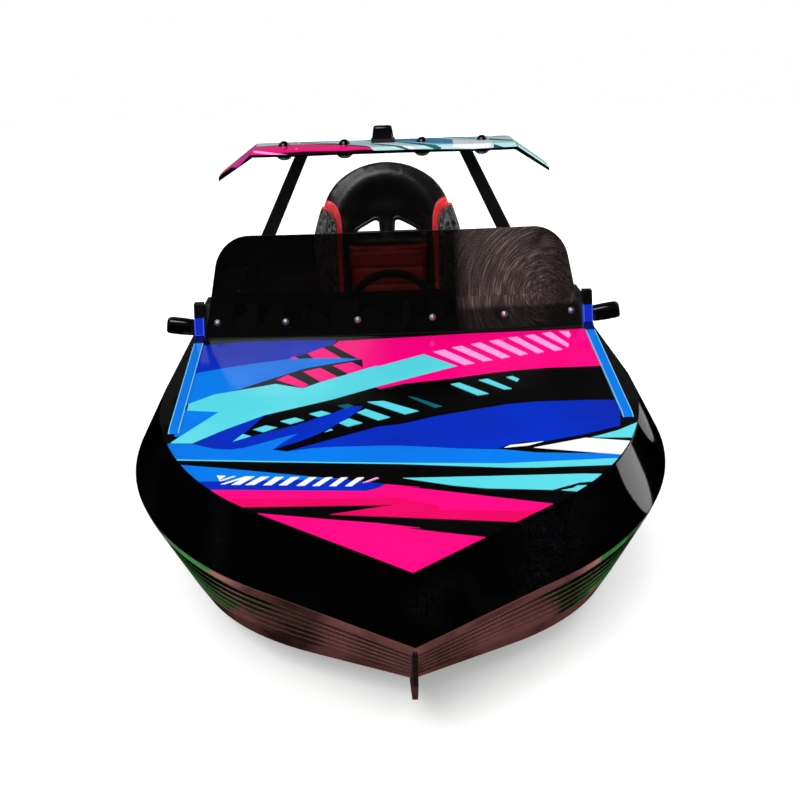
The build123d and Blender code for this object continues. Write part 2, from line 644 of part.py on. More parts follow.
def mirror_housing():
    """A small oblong mirror housing on a short neck, tipped up at its outer end."""
    wide, deep, long = MIRROR_SIZE
    root = Pos(RAIL_INNER + RAIL_WIDTH, MIRROR_Y, MIRROR_Z)
    shell = Pos(8, 0, 0) * Rot(0, 90 - MIRROR_TIP, 0) * extrude(RectangleRounded(wide, deep, 14), long)
    neck = Rot(0, 90, 0) * Cylinder(13, 20, align=(Align.CENTER, Align.CENTER, Align.MIN))
    return root * (shell + neck)


def mirror_glass():
    """The glass on the rear face of the housing."""
    wide, deep, long = MIRROR_SIZE
    root = Pos(RAIL_INNER + RAIL_WIDTH + 8, MIRROR_Y + deep / 2 + 1, MIRROR_Z)
    return root * Rot(0, -MIRROR_TIP, 0) * Pos(long / 2 + 4, 0, 0) * Box(long - 16, 2, wide - 18)


def coaming():
    """The raised lip along one side of the cockpit."""
    return box((WELL_HALF, WELL_HALF + COAMING_WIDTH), (DASH_BACK, WELL_BACK), (SIDE_DECK_Z, SIDE_DECK_Z + COAMING_HEIGHT))


def aft_deck():
    """The plate behind the seat, with the opening of the motor bay."""
    half = RAIL_INNER + RAIL_WIDTH
    plate = box((-half, half), (WELL_BACK, STERN - 12), (SIDE_DECK_Z, SIDE_DECK_Z + DECK_PLATE))
    plate -= box((-BAY_HALF, BAY_HALF), (HATCH_FRONT, BAY_REAR), (0, FAR))
    corner = plate.edges().filter_by(Axis.Z).group_by(Axis.Y)[-1]
    return fillet(corner, 60)


def motor_hatch():
    low = SIDE_DECK_Z + DECK_PLATE + 1.0
    half = BAY_HALF + HATCH_LIP
    back = HATCH_HINGE_Y - HINGE_R - HATCH_GAP
    lid = box((-half, half), (HATCH_FRONT - HATCH_LIP, back), (low, low + HATCH_PLATE))
    lid = fillet(lid.edges().filter_by(Axis.Z).group_by(Axis.Y)[0], 30)
    for x in (-HINGE_X, HINGE_X):
        lid += Pos(x, HATCH_HINGE_Y, HATCH_HINGE_Z) * Rot(0, 90, 0) * Cylinder(HINGE_R, 60)
        lid += box((x - 30, x + 30), (HATCH_HINGE_Y - 20, HATCH_HINGE_Y), (low, HATCH_HINGE_Z))
        lid -= Pos(x, HATCH_HINGE_Y, HATCH_HINGE_Z) * Rot(0, 90, 0) * Cylinder(HINGE_PIN_R + RUNNING_GAP, 61)
    return lid


def hatch_hinges():
    """The fixed knuckles on both sides of each hatch hinge."""
    deck = SIDE_DECK_Z + DECK_PLATE
    parts = []
    for x in (-HINGE_X, HINGE_X):
        leaf = box((x - 60, x + 60), (HATCH_HINGE_Y + HINGE_R + 3, HATCH_HINGE_Y + 30), (deck, deck + 3))
        for side in (-1, 1):
            knuckle = Pos(x + side * 46, HATCH_HINGE_Y, HATCH_HINGE_Z) * Rot(0, 90, 0) * Cylinder(HINGE_R, 24)
            web = box((x + side * 46 - 12, x + side * 46 + 12), (HATCH_HINGE_Y, HATCH_HINGE_Y + 14), (deck, HATCH_HINGE_Z))
            leaf += knuckle + web
        leaf += Pos(x, HATCH_HINGE_Y, HATCH_HINGE_Z) * Rot(0, 90, 0) * Cylinder(HINGE_PIN_R, 112)
        parts.append(leaf)
    return Compound(parts)


def keel_fin(hull):
    """The bow fin: a plate under the stem, cut to the hull, with a hole for a tow shackle."""
    rise = (KNUCKLE["z_tip"] - CHINE["z_tip"]) / (CHINE["tip"] - KNUCKLE["tip"])
    heel = lerp(CHINE["tip"], PAD["tip"], 0.48)
    plate = side_view([
        (BOW + 30, KNUCKLE["z_tip"] - 30 * rise), (BOW + 42, 190), (BOW + 88, 126), (BOW + 150, 84), (heel, 22),
        (heel + 100, 18), (heel + 60, 60), (CHINE["tip"] + 60, CHINE["z_tip"] + 30),
    ], FIN_THICK / 2)
    plate -= Pos(0, *TOW_HOLE) * Rot(0, 90, 0) * Cylinder(TOW_HOLE_R, 2 * FIN_THICK)
    return max((plate - hull).solids(), key=lambda piece: piece.volume)


def drive_shaft():
    """The shaft from the motor to the bearing in the stator's hub."""
    front = tube_y(SHAFT_R, (MOTOR_BACK + 1, IMPELLER_FRONT))
    return front + tube_y(TAIL_R, (IMPELLER_FRONT, STATOR_FRONT + 24))


def impeller():
    """A hub with helical blades, each a thin radial section carried round and along."""
    hub = tube_y(IMPELLER_HUB, (IMPELLER_FRONT, IMPELLER_FRONT + IMPELLER_LONG))
    steps = 4
    for n in range(BLADES):
        sections = []
        for i in range(steps + 1):
            angle = n * 360 / BLADES + BLADE_TWIST * i / steps
            y = IMPELLER_FRONT + 4 + (IMPELLER_LONG - 8) * i / steps
            plane = Plane(origin=(0, y, JET_Z), x_dir=(1, 0, 0), z_dir=(0, -1, 0))
            radial = Pos((IMPELLER_HUB - 4 + IMPELLER_R) / 2, 0) * Rectangle(IMPELLER_R - IMPELLER_HUB + 4, BLADE_THICK)
            sections.append(plane * Rot(0, 0, angle) * radial)
        hub += loft(sections, ruled=True)
    return hub - tube_y(TAIL_R, (IMPELLER_FRONT - 1, IMPELLER_FRONT + IMPELLER_LONG + 1))


def stator():
    """Straight vanes between a ring in the bore and the bearing hub."""
    ring = tube_y(BORE_R - SOFT_GAP, (STATOR_FRONT, STATOR_BACK)) - tube_y(BORE_R - STATOR_WALL, (STATOR_FRONT, STATOR_BACK))
    hub = tube_y(IMPELLER_HUB, (STATOR_FRONT, STATOR_BACK))
    tail = Pos(0, STATOR_BACK, JET_Z) * Rot(-90, 0, 0) * Cone(IMPELLER_HUB, 6, 60, align=(Align.CENTER, Align.CENTER, Align.MIN))
    body = ring + hub + tail
    reach = (BORE_R + IMPELLER_HUB - STATOR_WALL) / 2
    long = STATOR_BACK - STATOR_FRONT
    for n in range(VANES):
        vane = Pos(reach, 0, 0) * Box(BORE_R - IMPELLER_HUB, long, 4)
        body += Pos(0, STATOR_FRONT + long / 2, JET_Z) * Rot(0, n * 360 / VANES, 0) * vane
    return body - tube_y(TAIL_R + RUNNING_GAP, (STATOR_FRONT - 1, STATOR_FRONT + 30))


def revolve_y(profile):
    """A solid of revolution about the jet's axis, from (radius, station) points."""
    face = Polygon(*profile, align=None)
    body = revolve(face, Axis.Y)
    return Pos(0, 0, JET_Z) * body


def pump_housing():
    """The outlet cone on the transom, with the two pivot pins of the nozzle."""
    tube_r = OUTLET_R + 9
    body = revolve_y([
        (BORE_R, STERN), (BORE_R + 20, STERN), (BORE_R + 20, STERN + 9), (BORE_R + 4, STERN + 9),
        (tube_r, STERN + 34), (tube_r, PIVOT_Y + 12), (OUTLET_R, PIVOT_Y + 12), (OUTLET_R, STERN + 50),
    ])
    pin = Pos(0, PIVOT_Y, JET_Z) * Cylinder(PIVOT_R, 2 * (NOZZLE_R + NOZZLE_WALL + 4))
    return body + (pin - tube_y(OUTLET_R + 4, (NOZZLE_FRONT, PIVOT_Y + 12)))


def steering_nozzle():
    """The nozzle that swings about the upright pins, with the arm that the steering rod moves."""
    inner, outer = NOZZLE_R, NOZZLE_R + NOZZLE_WALL
    body = revolve_y([
        (inner, NOZZLE_FRONT), (outer, NOZZLE_FRONT), (outer, PIVOT_Y + 34), (OUTLET_R + NOZZLE_WALL - 2, NOZZLE_END),
        (OUTLET_R - 2, NOZZLE_END), (inner, PIVOT_Y + 34),
    ])
    arm = (outer - 6, ARM_REACH + ARM_HALF), (PIVOT_Y - ARM_HALF, PIVOT_Y + ARM_HALF), (JET_Z - 6, JET_Z + 4)
    return body + box(*arm) - Pos(0, PIVOT_Y, JET_Z) * Cylinder(PIVOT_R + RUNNING_GAP, 4 * outer)


def steering_rod():
    """The rod through the transom. Its flat end lies over the nozzle's arm."""
    rod = tube_y(ROD_R, (STERN - 70, PIVOT_Y - ROD_R), z=ROD_Z, x=ARM_REACH)
    x, y = (ARM_REACH - ARM_HALF, ARM_REACH + ARM_HALF), (PIVOT_Y - ARM_HALF, PIVOT_Y + ARM_HALF)
    return rod + box(x, y, (JET_Z + 5, JET_Z + 17))


def rod_gland():
    gland = tube_y(15, (STERN, STERN + 16), z=ROD_Z, x=ARM_REACH)
    return gland - tube_y(ROD_R + RUNNING_GAP, (STERN - 1, STERN + 17), z=ROD_Z, x=ARM_REACH)


def ride_plate():
    """The flat plate under the jet, bolted to the foot of the transom."""
    half = 0.96 * PAD["half"] * 0.75
    return box((-half, half), (STERN, STERN + 130), (0, 6)) + box((-half, half), (STERN, STERN + 6), (0, 52))


def intake_grille():
    """Bars along the intake in a frame that lies in the bottom's opening."""
    half = BORE_R - SOFT_GAP
    y = (INTAKE_FRONT + 12, INTAKE_BACK - 2)
    rim = 8.0
    frame = box((-half, half), y, (0, GRILLE_THICK))
    frame -= box((-half + rim, half - rim), (y[0] + rim, y[1] - rim), (-1, GRILLE_THICK + 1))
    pitch = 2 * (half - rim) / (GRILLE_BARS + 1)
    for n in range(GRILLE_BARS):
        x = -half + rim + pitch * (n + 1)
        frame += box((x - GRILLE_BAR / 2, x + GRILLE_BAR / 2), (y[0] + 4, y[1] - 4), (0, GRILLE_THICK))
    return frame


def motor_block():
    body = tube_y(MOTOR_R, (MOTOR_FRONT, MOTOR_BACK))
    return body + box((-60, 60), (MOTOR_FRONT + 20, MOTOR_BACK - 20), (BAY_FLOOR, JET_Z))


def battery_block():
    wide, long, high = BATTERY
    return box((-wide / 2, wide / 2), (BATTERY_FRONT, BATTERY_FRONT + long), (WELL_FLOOR, WELL_FLOOR + high))


def cockpit_floor():
    half = WELL_HALF - FLOOR_GAP
    return box((-half, half), (WELL_FRONT + FLOOR_GAP, WELL_STEP - FLOOR_GAP), (WELL_FLOOR, WELL_FLOOR + FLOOR_PLATE))


def parts():
    """Every node: its name and its solids."""
    hull = lower_hull()
    return {
        "lower_hull": hull,
        "topsides": topsides(),
        "jet_intake": jet_intake(),
        "rear_bulkhead": rear_bulkhead(),
        "foredeck": foredeck(),
        "dash_beam": dash_beam(),
        "windscreen": windscreen(),
        "cockpit_floor": cockpit_floor(),
        "aft_deck": aft_deck(),
        "motor_hatch": motor_hatch(),
        "hatch_hinges": hatch_hinges(),
        "keel_fin": keel_fin(hull),
        "seat_frame": seat_frame(),
        "seat_shell": seat_shell(),
        "seat_back_pad": seat_back_pad(),
        "seat_cushion": seat_cushion(),
        "steering_column": steering_column(),
        "helm_shaft": helm_shaft(),
        "steering_wheel": steering_wheel(),
        "foot_pedals": pair(pedal(120)),
        "wing_panel": wing_panel(),
        "lamp_caps": lamps(under=False),
        "lamp_lenses": lamps(under=True),
        "beacon_base": beacon("base"),
        "beacon_cover": beacon("cover"),
        "pump_housing": pump_housing(),
        "pump_stator": stator(),
        "drive_shaft": drive_shaft(),
        "impeller": impeller(),
        "steering_nozzle": steering_nozzle(),
        "steering_rod": steering_rod(),
        "rod_gland": rod_gland(),
        "ride_plate": ride_plate(),
        "intake_grille": intake_grille(),
        "motor_block": motor_block(),
        "battery_block": battery_block(),
        "deck_rails": pair(rail()),
        "cockpit_coamings": pair(coaming()),
        "seat_bolsters": pair(seat_bolster()),
        "thigh_bolsters": pair(thigh_bolster()),
        "wing_struts": pair(wing_strut()),
        "mirror_housings": pair(mirror_housing()),
        "mirror_glasses": pair(mirror_glass()),
    }


if __name__ == "__main__":
    os.makedirs("parts", exist_ok=True)
    for name, solid in parts().items():
        export_step(solid.moved(Pos(0, -ORIGIN_STATION, 0)), f"parts/{name}.step")
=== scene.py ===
import math
from functools import partial

import bmesh
import bpy
import numpy as np
from mathutils import Matrix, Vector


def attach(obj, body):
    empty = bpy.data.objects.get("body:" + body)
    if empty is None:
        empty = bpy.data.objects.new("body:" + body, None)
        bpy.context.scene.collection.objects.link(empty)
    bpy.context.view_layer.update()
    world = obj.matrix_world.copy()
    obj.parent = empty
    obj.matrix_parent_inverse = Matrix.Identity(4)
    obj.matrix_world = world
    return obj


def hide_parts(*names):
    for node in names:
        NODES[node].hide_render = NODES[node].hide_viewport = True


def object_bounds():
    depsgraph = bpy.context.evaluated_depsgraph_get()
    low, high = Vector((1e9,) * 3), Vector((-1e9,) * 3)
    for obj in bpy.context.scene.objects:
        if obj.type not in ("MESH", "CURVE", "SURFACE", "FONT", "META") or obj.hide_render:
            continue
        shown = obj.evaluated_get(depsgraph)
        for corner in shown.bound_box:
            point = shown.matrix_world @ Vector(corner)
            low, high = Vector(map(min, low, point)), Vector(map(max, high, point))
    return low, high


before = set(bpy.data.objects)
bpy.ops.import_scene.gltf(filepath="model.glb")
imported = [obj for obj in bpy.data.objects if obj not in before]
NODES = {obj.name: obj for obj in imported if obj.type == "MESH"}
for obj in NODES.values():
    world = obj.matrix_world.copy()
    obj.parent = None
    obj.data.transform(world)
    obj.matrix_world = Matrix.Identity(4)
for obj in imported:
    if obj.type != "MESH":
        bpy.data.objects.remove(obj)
cad_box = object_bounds()

# Places on the boat, in metres. The bow points along -Y and the driver's left is +X
STATION = -0.210                # add it to a station counted from the windscreen's foot
BOW_TIP = -1.157 + STATION      # the deck's own tip
BREAK = -0.200 + STATION        # the parallel part of the hull starts here
SHEER_HALF = 0.640
SHEER_ENTRY = math.radians(35.5)
SHEER_ARC = 0.70
DECK_Z = 0.48607                # top of the foredeck plate at its tip
DECK_SLOPE = 0.15674
DECK_CORNER = -0.500 + STATION
RAIL_INNER = 0.572
RAIL_OUTER = 0.600
RAIL_CAP_Z = 0.773
SCREEN_LEAN = math.radians(16.4)
SCREEN_FOOT_Z = 0.671
SCREEN_ARC = 6.2
SCRATCH_X, SCRATCH_Z = 0.464, 0.768     # the wiping scratches turn about this point of the screen
SEAT_FOOT = (0.498, 0.190)      # y and z of the foot of the seat's front face
SEAT_RECLINE = math.radians(11.3)
SHOULDER_X, SHOULDER_HIGH = 0.232, 0.650    # the seat's coloured shoulder patches are ovals about this point
CLOTH_STEPS = 20                # frames that each stuffed piece is blown up for
WING_TOP = 1.100
WING_HALF = 0.500
WING_FRONT = 0.990 + STATION
WING_BACK = 1.290 + STATION
WING_FOLD = 0.055               # depth of the bevel along the wing's front edge
TIP_FALL = 0.092 / 0.132        # slope of the wing's drooping tips
LAMP_X = (-0.385, -0.151, 0.151, 0.385)
LAMP_Y = WING_FRONT + 0.190
COAMING_X, COAMING_Z = 0.483, 0.585
JET_Z = 0.150
TRANSOM = 1.176                 # the stern's flat face
BLEND = {"out": 2, "data_type": "RGBA"}     # a colour mix: its share is input 0, its two colours are 6 and 7


# Materials

def linear(code):
    """A hex sRGB colour as linear red, green, blue and alpha."""
    parts = np.array([int(code[i:i + 2], 16) for i in (1, 3, 5)]) / 255
    parts = np.where(parts <= 0.04045, parts / 12.92, ((parts + 0.055) / 1.055) ** 2.4)
    return (*parts.tolist(), 1.0)


def add(tree, kind, inputs=(), out=0, **settings):
    """Adds a shader node and gives one of its outputs.

    Inputs are values, hex colours or sockets, in order or named.
    """
    made = tree.nodes.new("ShaderNode" + kind)
    for field, value in settings.items():
        setattr(made, field, value)
    for key, value in (inputs.items() if isinstance(inputs, dict) else enumerate(inputs)):
        if isinstance(value, bpy.types.NodeSocket):
            tree.links.new(value, made.inputs[key])
        else:
            made.inputs[key].default_value = linear(value) if isinstance(value, str) else value
    return made.outputs[out] if made.outputs else made


def finish(name, colour, roughness, metallic=0.0, **sockets):
    """A material whose plain values sit on its Principled shader, and a way to add nodes to it."""
    made = bpy.data.materials.new(name)
    made.use_nodes = True
    shader = made.node_tree.nodes["Principled BSDF"]
    feed(shader, Base_Color=colour, Roughness=roughness, Metallic=metallic, **sockets)
    node = partial(add, made.node_tree)
    return made, shader, node, node("TexCoord", out="Object")


def feed(shader, **sockets):
    """Gives values, hex colours or links to a shader's inputs."""
    for key, value in sockets.items():
        socket = shader.inputs[key.replace("_", " ")]
        if isinstance(value, bpy.types.NodeSocket):
            shader.id_data.links.new(value, socket)
        else:
            socket.default_value = linear(value) if isinstance(value, str) else value


def moulded(name, colour, tint, roughness, grain_mm, depth_mm, edge_mm=2.0, metallic=0.0, **sockets):
    """Colour that drifts towards a tint in broad clouds, a fine grain, and edges rounded by edge_mm."""
    made, shader, node, place = finish(name, colour, roughness, metallic, **sockets)
    cloud = node("TexNoise", {"Vector": place, "Scale": 8.0, "Detail": 4.0})
    fine = node("TexNoise", {"Vector": place, "Scale": 1000 / grain_mm, "Detail": 2.0})
    edge = node("Bevel", (edge_mm / 1000,), samples=4)
    feed(shader,
         Base_Color=node("Mix", {0: node("MapRange", (cloud, 0.35, 0.7)), 6: colour, 7: tint}, **BLEND),
         Roughness=node("MapRange", (cloud, 0.3, 0.7, roughness * 0.8, min(1.0, roughness * 1.25))),
         Normal=node("Bump", {"Height": fine, "Distance": depth_mm / 1000, "Normal": edge}))
    return made


def gelcoat(name, colour, rubbed_and_highlight_colour, rubbed_share, edge_mm, edge_highlight_share):
    """Black gelcoat, polished: a deep gloss with a faint long wave, hairlines and dull rubbed patches.

    Its edges are rounded by edge_mm, and painted paler by the edge share as a painted highlight along each
    ridge: there the rounded normal leaves the flat one. The rubbed colour serves both the rubbed patches and
    this painted edge highlight.
    """
    made, shader, node, place = finish(name, colour, 0.045, 0.0, IOR=1.5)
    wave = node("TexNoise", {"Vector": place, "Scale": 6.0, "Detail": 2.0})
    along = node("Mapping", {"Vector": place, "Rotation": (0.2, 0.5, 0.9), "Scale": (6.0, 260.0, 40.0)})
    hair = node("TexNoise", {"Vector": along, "Scale": 4.0, "Detail": 3.0})
    patch = node("TexNoise", {"Vector": place, "Scale": 4.5, "Detail": 6.0, "Distortion": 0.6})
    rubbed = node("Math", (node("MapRange", (patch, 0.52, 0.75)), node("MapRange", (hair, 0.52, 0.72))),
                  operation="MULTIPLY")
    edge = node("Bevel", (edge_mm / 1000,), samples=4)
    bent = node("VectorMath", (edge, node("NewGeometry", out="True Normal")), out="Value",
                operation="DOT_PRODUCT")
    # Painted highlight: a paler colour where the rounded normal leaves the flat one, standing in for light
    # caught along the edges
    painted_edge_highlight = node("Math", (node("MapRange", (bent, 0.985, 0.88)), edge_highlight_share), operation="MULTIPLY")
    rubbed_and_edge_highlight = node("Math", (node("Math", (rubbed, rubbed_share), operation="MULTIPLY"), painted_edge_highlight),
                  operation="MAXIMUM")
    long_wave = node("Bump", {"Height": wave, "Distance": 0.0006, "Normal": edge})
    feed(shader,
         Base_Color=node("Mix", {0: rubbed_and_edge_highlight, 6: colour, 7: rubbed_and_highlight_colour}, **BLEND),
         Roughness=node("MapRange", (rubbed_and_edge_highlight, 0.0, 1.0, 0.045, 0.4)),
         Normal=node("Bump", {"Height": hair, "Distance": 0.000008, "Normal": long_wave}))
    return made


def laminate(name, colour, rounded=False):
    """Cast vinyl film under a clear laminate: a thin wet gloss over orange peel. Its edges may be rounded."""
    made, shader, node, place = finish(name, colour, 0.14, 0.0, IOR=1.45, Coat_Weight=0.2,
                                       Coat_Roughness=0.04)
    peel = node("TexNoise", {"Vector": place, "Scale": 200.0, "Detail": 1.0})
    edge = {"Normal": node("Bevel", (0.002,), samples=4)} if rounded else {}
    feed(shader, Normal=node("Bump", {"Height": peel, "Distance": 0.00002, **edge}))
    return made, shader, node, place


def printed_film(name, colour, shade):
    """Film of one even colour, with faint clouds of a second shade."""
    made, shader, node, place = laminate(name, colour)
    cloud = node("TexNoise", {"Vector": place, "Scale": 4.0, "Detail": 3.0})
    feed(shader,
         Base_Color=node("Mix", {0: node("MapRange", (cloud, 0.4, 0.7)), 6: colour, 7: shade}, **BLEND))
    return made


# Sign film under a clear laminate, in the deck's colours: flat and saturated, with a thin wet gloss
FILMS = {label: printed_film("cast_vinyl_" + label, colour, shade) for label, colour, shade in (
    ("pink", "#fa0080", "#f20078"), ("crimson", "#e0005a", "#ec0068"), ("royal", "#002cbe", "#0424a8"),
    ("azure", "#0078e6", "#046edc"), ("sea_blue", "#2080b6", "#2a8ec2"), ("cyan", "#54d2de", "#62d8e4"),
    ("ice_blue", "#b4e2e8", "#c4eaee"), ("teal", "#0a5c66", "#0e727c"), ("pale_pink", "#ff9ce2", "#ffacea"),
    ("white", "#f6f4fa", "#eef0f8"), ("black", "#020203", "#060608"),
)}

# Polished gelcoat: mirror-like black with rubbed patches; the side also has a painted highlight, pale maroon,
# along the edges of its ridges
HULL_SIDE = gelcoat("black_gelcoat_side", "#030304", "#7e6664", 0.16, 6.0, 0.75)
HULL_BAND = gelcoat("black_gelcoat_band", "#020203", "#4a4e50", 0.30, 3.0, 0.0)
# Powder coat: satin black with a slight orange peel
POWDER_COAT = moulded("black_powder_coat", "#060607", "#0c0c0e", 0.34, 1.4, 0.05)
# Textured ABS: soft black with a fine spark-eroded grain
MOULDED_ABS = moulded("black_moulded_abs", "#070708", "#0e0e10", 0.42, 0.9, 0.06)
GLOSS_ABS = moulded("black_gloss_abs", "#030304", "#070709", 0.10, 6.0, 0.03)
# Moulded polyethylene: duller and a little greyer than ABS
POLYETHYLENE = moulded("black_moulded_polyethylene", "#101012", "#18181a", 0.55, 1.6, 0.10, 3.0)
RUBBER = moulded("black_nitrile_rubber", "#0c0c0d", "#161617", 0.68, 0.8, 0.08, 3.0)
# Sand-cast aluminium: light grey, dull, with a coarse skin
CAST_ALUMINIUM = moulded("cast_aluminium", "#a4a8ab", "#888d91", 0.42, 1.5, 0.12, metallic=1.0)
BRONZE = moulded("polished_bronze", "#b58a4a", "#8f6a38", 0.25, 3.0, 0.03, metallic=1.0)
# Zinc plate on the small screws: pale and satin, so that each catches the light as a dot
ZINC = moulded("zinc_plated_steel", "#e6e8e9", "#ced1d3", 0.48, 2.0, 0.03, 0.5, metallic=1.0)
STAINLESS = moulded("stainless_steel", "#cfd1d3", "#b4b7ba", 0.20, 2.0, 0.02, 0.5, metallic=1.0)
SILVERED_GLASS = moulded("silvered_glass", "#dfe3e6", "#d2d7db", 0.03, 40.0, 0.002, 0.5, metallic=1.0)
CLEAR_LENS = moulded("clear_polycarbonate", "#eef4f6", "#e2eaee", 0.05, 8.0, 0.02, 0.5,
                     IOR=1.58, Transmission_Weight=0.85)


def smoked_acrylic():
    """Cast acrylic sheet, smoked nearly black, with arcs of wiping scratches in front of the driver's left.

    The arcs are noise read in polar measures round a point near the sheet's lower corner, long along the
    turn and short along the radius, gathered in bundles.
    """
    made, shader, node, place = finish("smoked_cast_acrylic", "#4a3f3d", 0.02, 0.0, IOR=1.49,
                                       Transmission_Weight=1.0)
    x, z = (node("SeparateXYZ", (place,), out=axis) for axis in (0, 2))
    wander = node("TexNoise", {"Vector": place, "Scale": 11.0, "Detail": 3.0})
    across = node("Math", (x, SCRATCH_X), operation="SUBTRACT")
    up = node("Math", (z, SCRATCH_Z), operation="SUBTRACT")
    radius = node("VectorMath", (node("CombineXYZ", (across, up)),), out="Value", operation="LENGTH")
    turn = node("Math", (up, across), operation="ARCTAN2")
    drawn = node("Math", (wander, 0.012, radius), operation="MULTIPLY_ADD")
    lines = []
    for pitch, length, low, high in ((42.0, 0.9, 0.36, 0.64), (250.0, 2.4, 0.44, 0.70)):
        polar = node("CombineXYZ", (node("Math", (drawn, pitch), operation="MULTIPLY"),
                                    node("Math", (turn, length), operation="MULTIPLY")))
        lines.append(node("MapRange",
                          (node("TexNoise", {"Vector": polar, "Scale": 1.0, "Detail": 2.0}), low, high)))
    bundle = node("Math", (lines[0], 0.70, 0.30), operation="MULTIPLY_ADD")
    line = node("Math", (lines[1], bundle), operation="MULTIPLY")
    zone = node("MapRange", (x, 0.185, 0.235))
    for fade in (node("MapRange", (wander, 0.30, 0.44, 0.35, 1.0)),
                 node("MapRange", (z, 0.728, 0.742, 0.25, 1.0)),
                 node("MapRange", (x, 0.40, 0.50, 1.0, 0.35))):
        zone = node("Math", (zone, fade), operation="MULTIPLY")
    haze = node("Math", (node("Math", (line, 0.34, 0.07), operation="MULTIPLY_ADD"), zone),
                operation="MULTIPLY")
    scratch = node("BsdfDiffuse", {"Color": "#a8948f"})
    mixed = node("MixShader", (haze, shader.outputs[0], scratch))
    feed(made.node_tree.nodes["Material Output"], Surface=mixed)
    feed(shader, Normal=node("Bump", {"Height": line, "Distance": 0.00001}))
    return made


def rail_film():
    """Film on the rails: azure with pale edges along the deck, navy at the kink, royal blue, a black cap."""
    made, shader, node, place = laminate("cast_vinyl_rail", "#0083f0", rounded=True)
    x, y, z = (node("SeparateXYZ", (place,), out=axis) for axis in (0, 1, 2))
    half = node("Math", (x,), operation="ABSOLUTE")
    off = node("Math", (half, (RAIL_INNER + RAIL_OUTER) / 2), operation="SUBTRACT")
    edge = node("MapRange", (node("Math", (off,), operation="ABSOLUTE"), 0.0112, 0.0120))
    above = node("MapRange", (y, STATION + 0.0045, STATION + 0.0055))
    kink = node("MapRange", (y, STATION - 0.0260, STATION - 0.0250))
    capped = node("MapRange", (z, RAIL_CAP_Z - 0.0405, RAIL_CAP_Z - 0.0395))
    deck = node("Mix", {0: edge, 6: "#0474de", 7: "#7ccdf0"}, **BLEND)
    navy = node("Mix", {0: kink, 6: deck, 7: "#04105a"}, **BLEND)
    face = node("Mix", {0: edge, 6: "#0428b8", 7: "#4a64e6"}, **BLEND)
    blue = node("Mix", {0: above, 6: navy, 7: face}, **BLEND)
    feed(shader, Base_Color=node("Mix", {0: capped, 6: blue, 7: "#050506"}, **BLEND))
    return made


def wing_film():
    """Black film on the wing's own sheet, with pink round its edge at one end and ice blue at the other."""
    made, shader, node, place = laminate("cast_vinyl_wing_edge", "#020203")
    x, z = (node("SeparateXYZ", (place,), out=axis) for axis in (0, 2))
    half = node("Math", (x,), operation="ABSOLUTE")
    out = node("Math", (node("Math", (half, WING_HALF), operation="SUBTRACT"), 0.0), operation="MAXIMUM")
    sunk = node("Math", (z, WING_TOP), operation="SUBTRACT")
    below = node("Math", (out, TIP_FALL, sunk), operation="MULTIPLY_ADD")
    cut_back = node("Math", (below, -4.4, x), operation="MULTIPLY_ADD")
    left = node("Math", (node("MapRange", (cut_back, -0.462, -0.460, 1.0, 0.0)),
                         node("MapRange", (z, 1.040, 1.046))), operation="MULTIPLY")
    pink = node("Math", (left, node("MapRange", (below, -0.0195, -0.0185))), operation="MULTIPLY")
    right = node("Math", (node("MapRange", (x, WING_HALF + 0.002, WING_HALF + 0.004)),
                          node("MapRange", (below, -0.0085, -0.0080))), operation="MULTIPLY")
    wrapped = node("Mix", {0: pink, 6: "#020203", 7: "#c02890"}, **BLEND)
    feed(shader, Base_Color=node("Mix", {0: right, 6: wrapped, 7: "#b4e2e8"}, **BLEND))
    return made


def tread(name, colour, pitch_mm):
    """Moulded rubber tread: rows of raised lozenges over a matt, slightly dusty ground."""
    made, shader, node, place = finish(name, colour, 0.72, 0.0, IOR=1.5)
    x, y = (node("SeparateXYZ", (place,), out=axis) for axis in (0, 1))
    turn = 2 * math.pi / (pitch_mm / 1000)
    waves = []
    for operation in ("ADD", "SUBTRACT"):
        phase = node("Math", (node("Math", (x, y), operation=operation), turn), operation="MULTIPLY")
        waves.append(node("Math", (phase,), operation="SINE"))
    lozenge = node("MapRange", (node("Math", waves, operation="MULTIPLY"), 0.1, 0.35))
    dust = node("TexNoise", {"Vector": place, "Scale": 14.0, "Detail": 5.0})
    grit = node("TexNoise", {"Vector": place, "Scale": 830.0, "Detail": 2.0})
    raised = node("Bump",
                  {"Height": lozenge, "Distance": 0.0009, "Normal": node("Bevel", (0.002,), samples=4)})
    feed(shader,
         Base_Color=node("Mix", {0: node("MapRange", (dust, 0.5, 0.85)), 6: colour, 7: "#2c2b29"}, **BLEND),
         Normal=node("Bump", {"Height": grit, "Distance": 0.00008, "Normal": raised}))
    return made


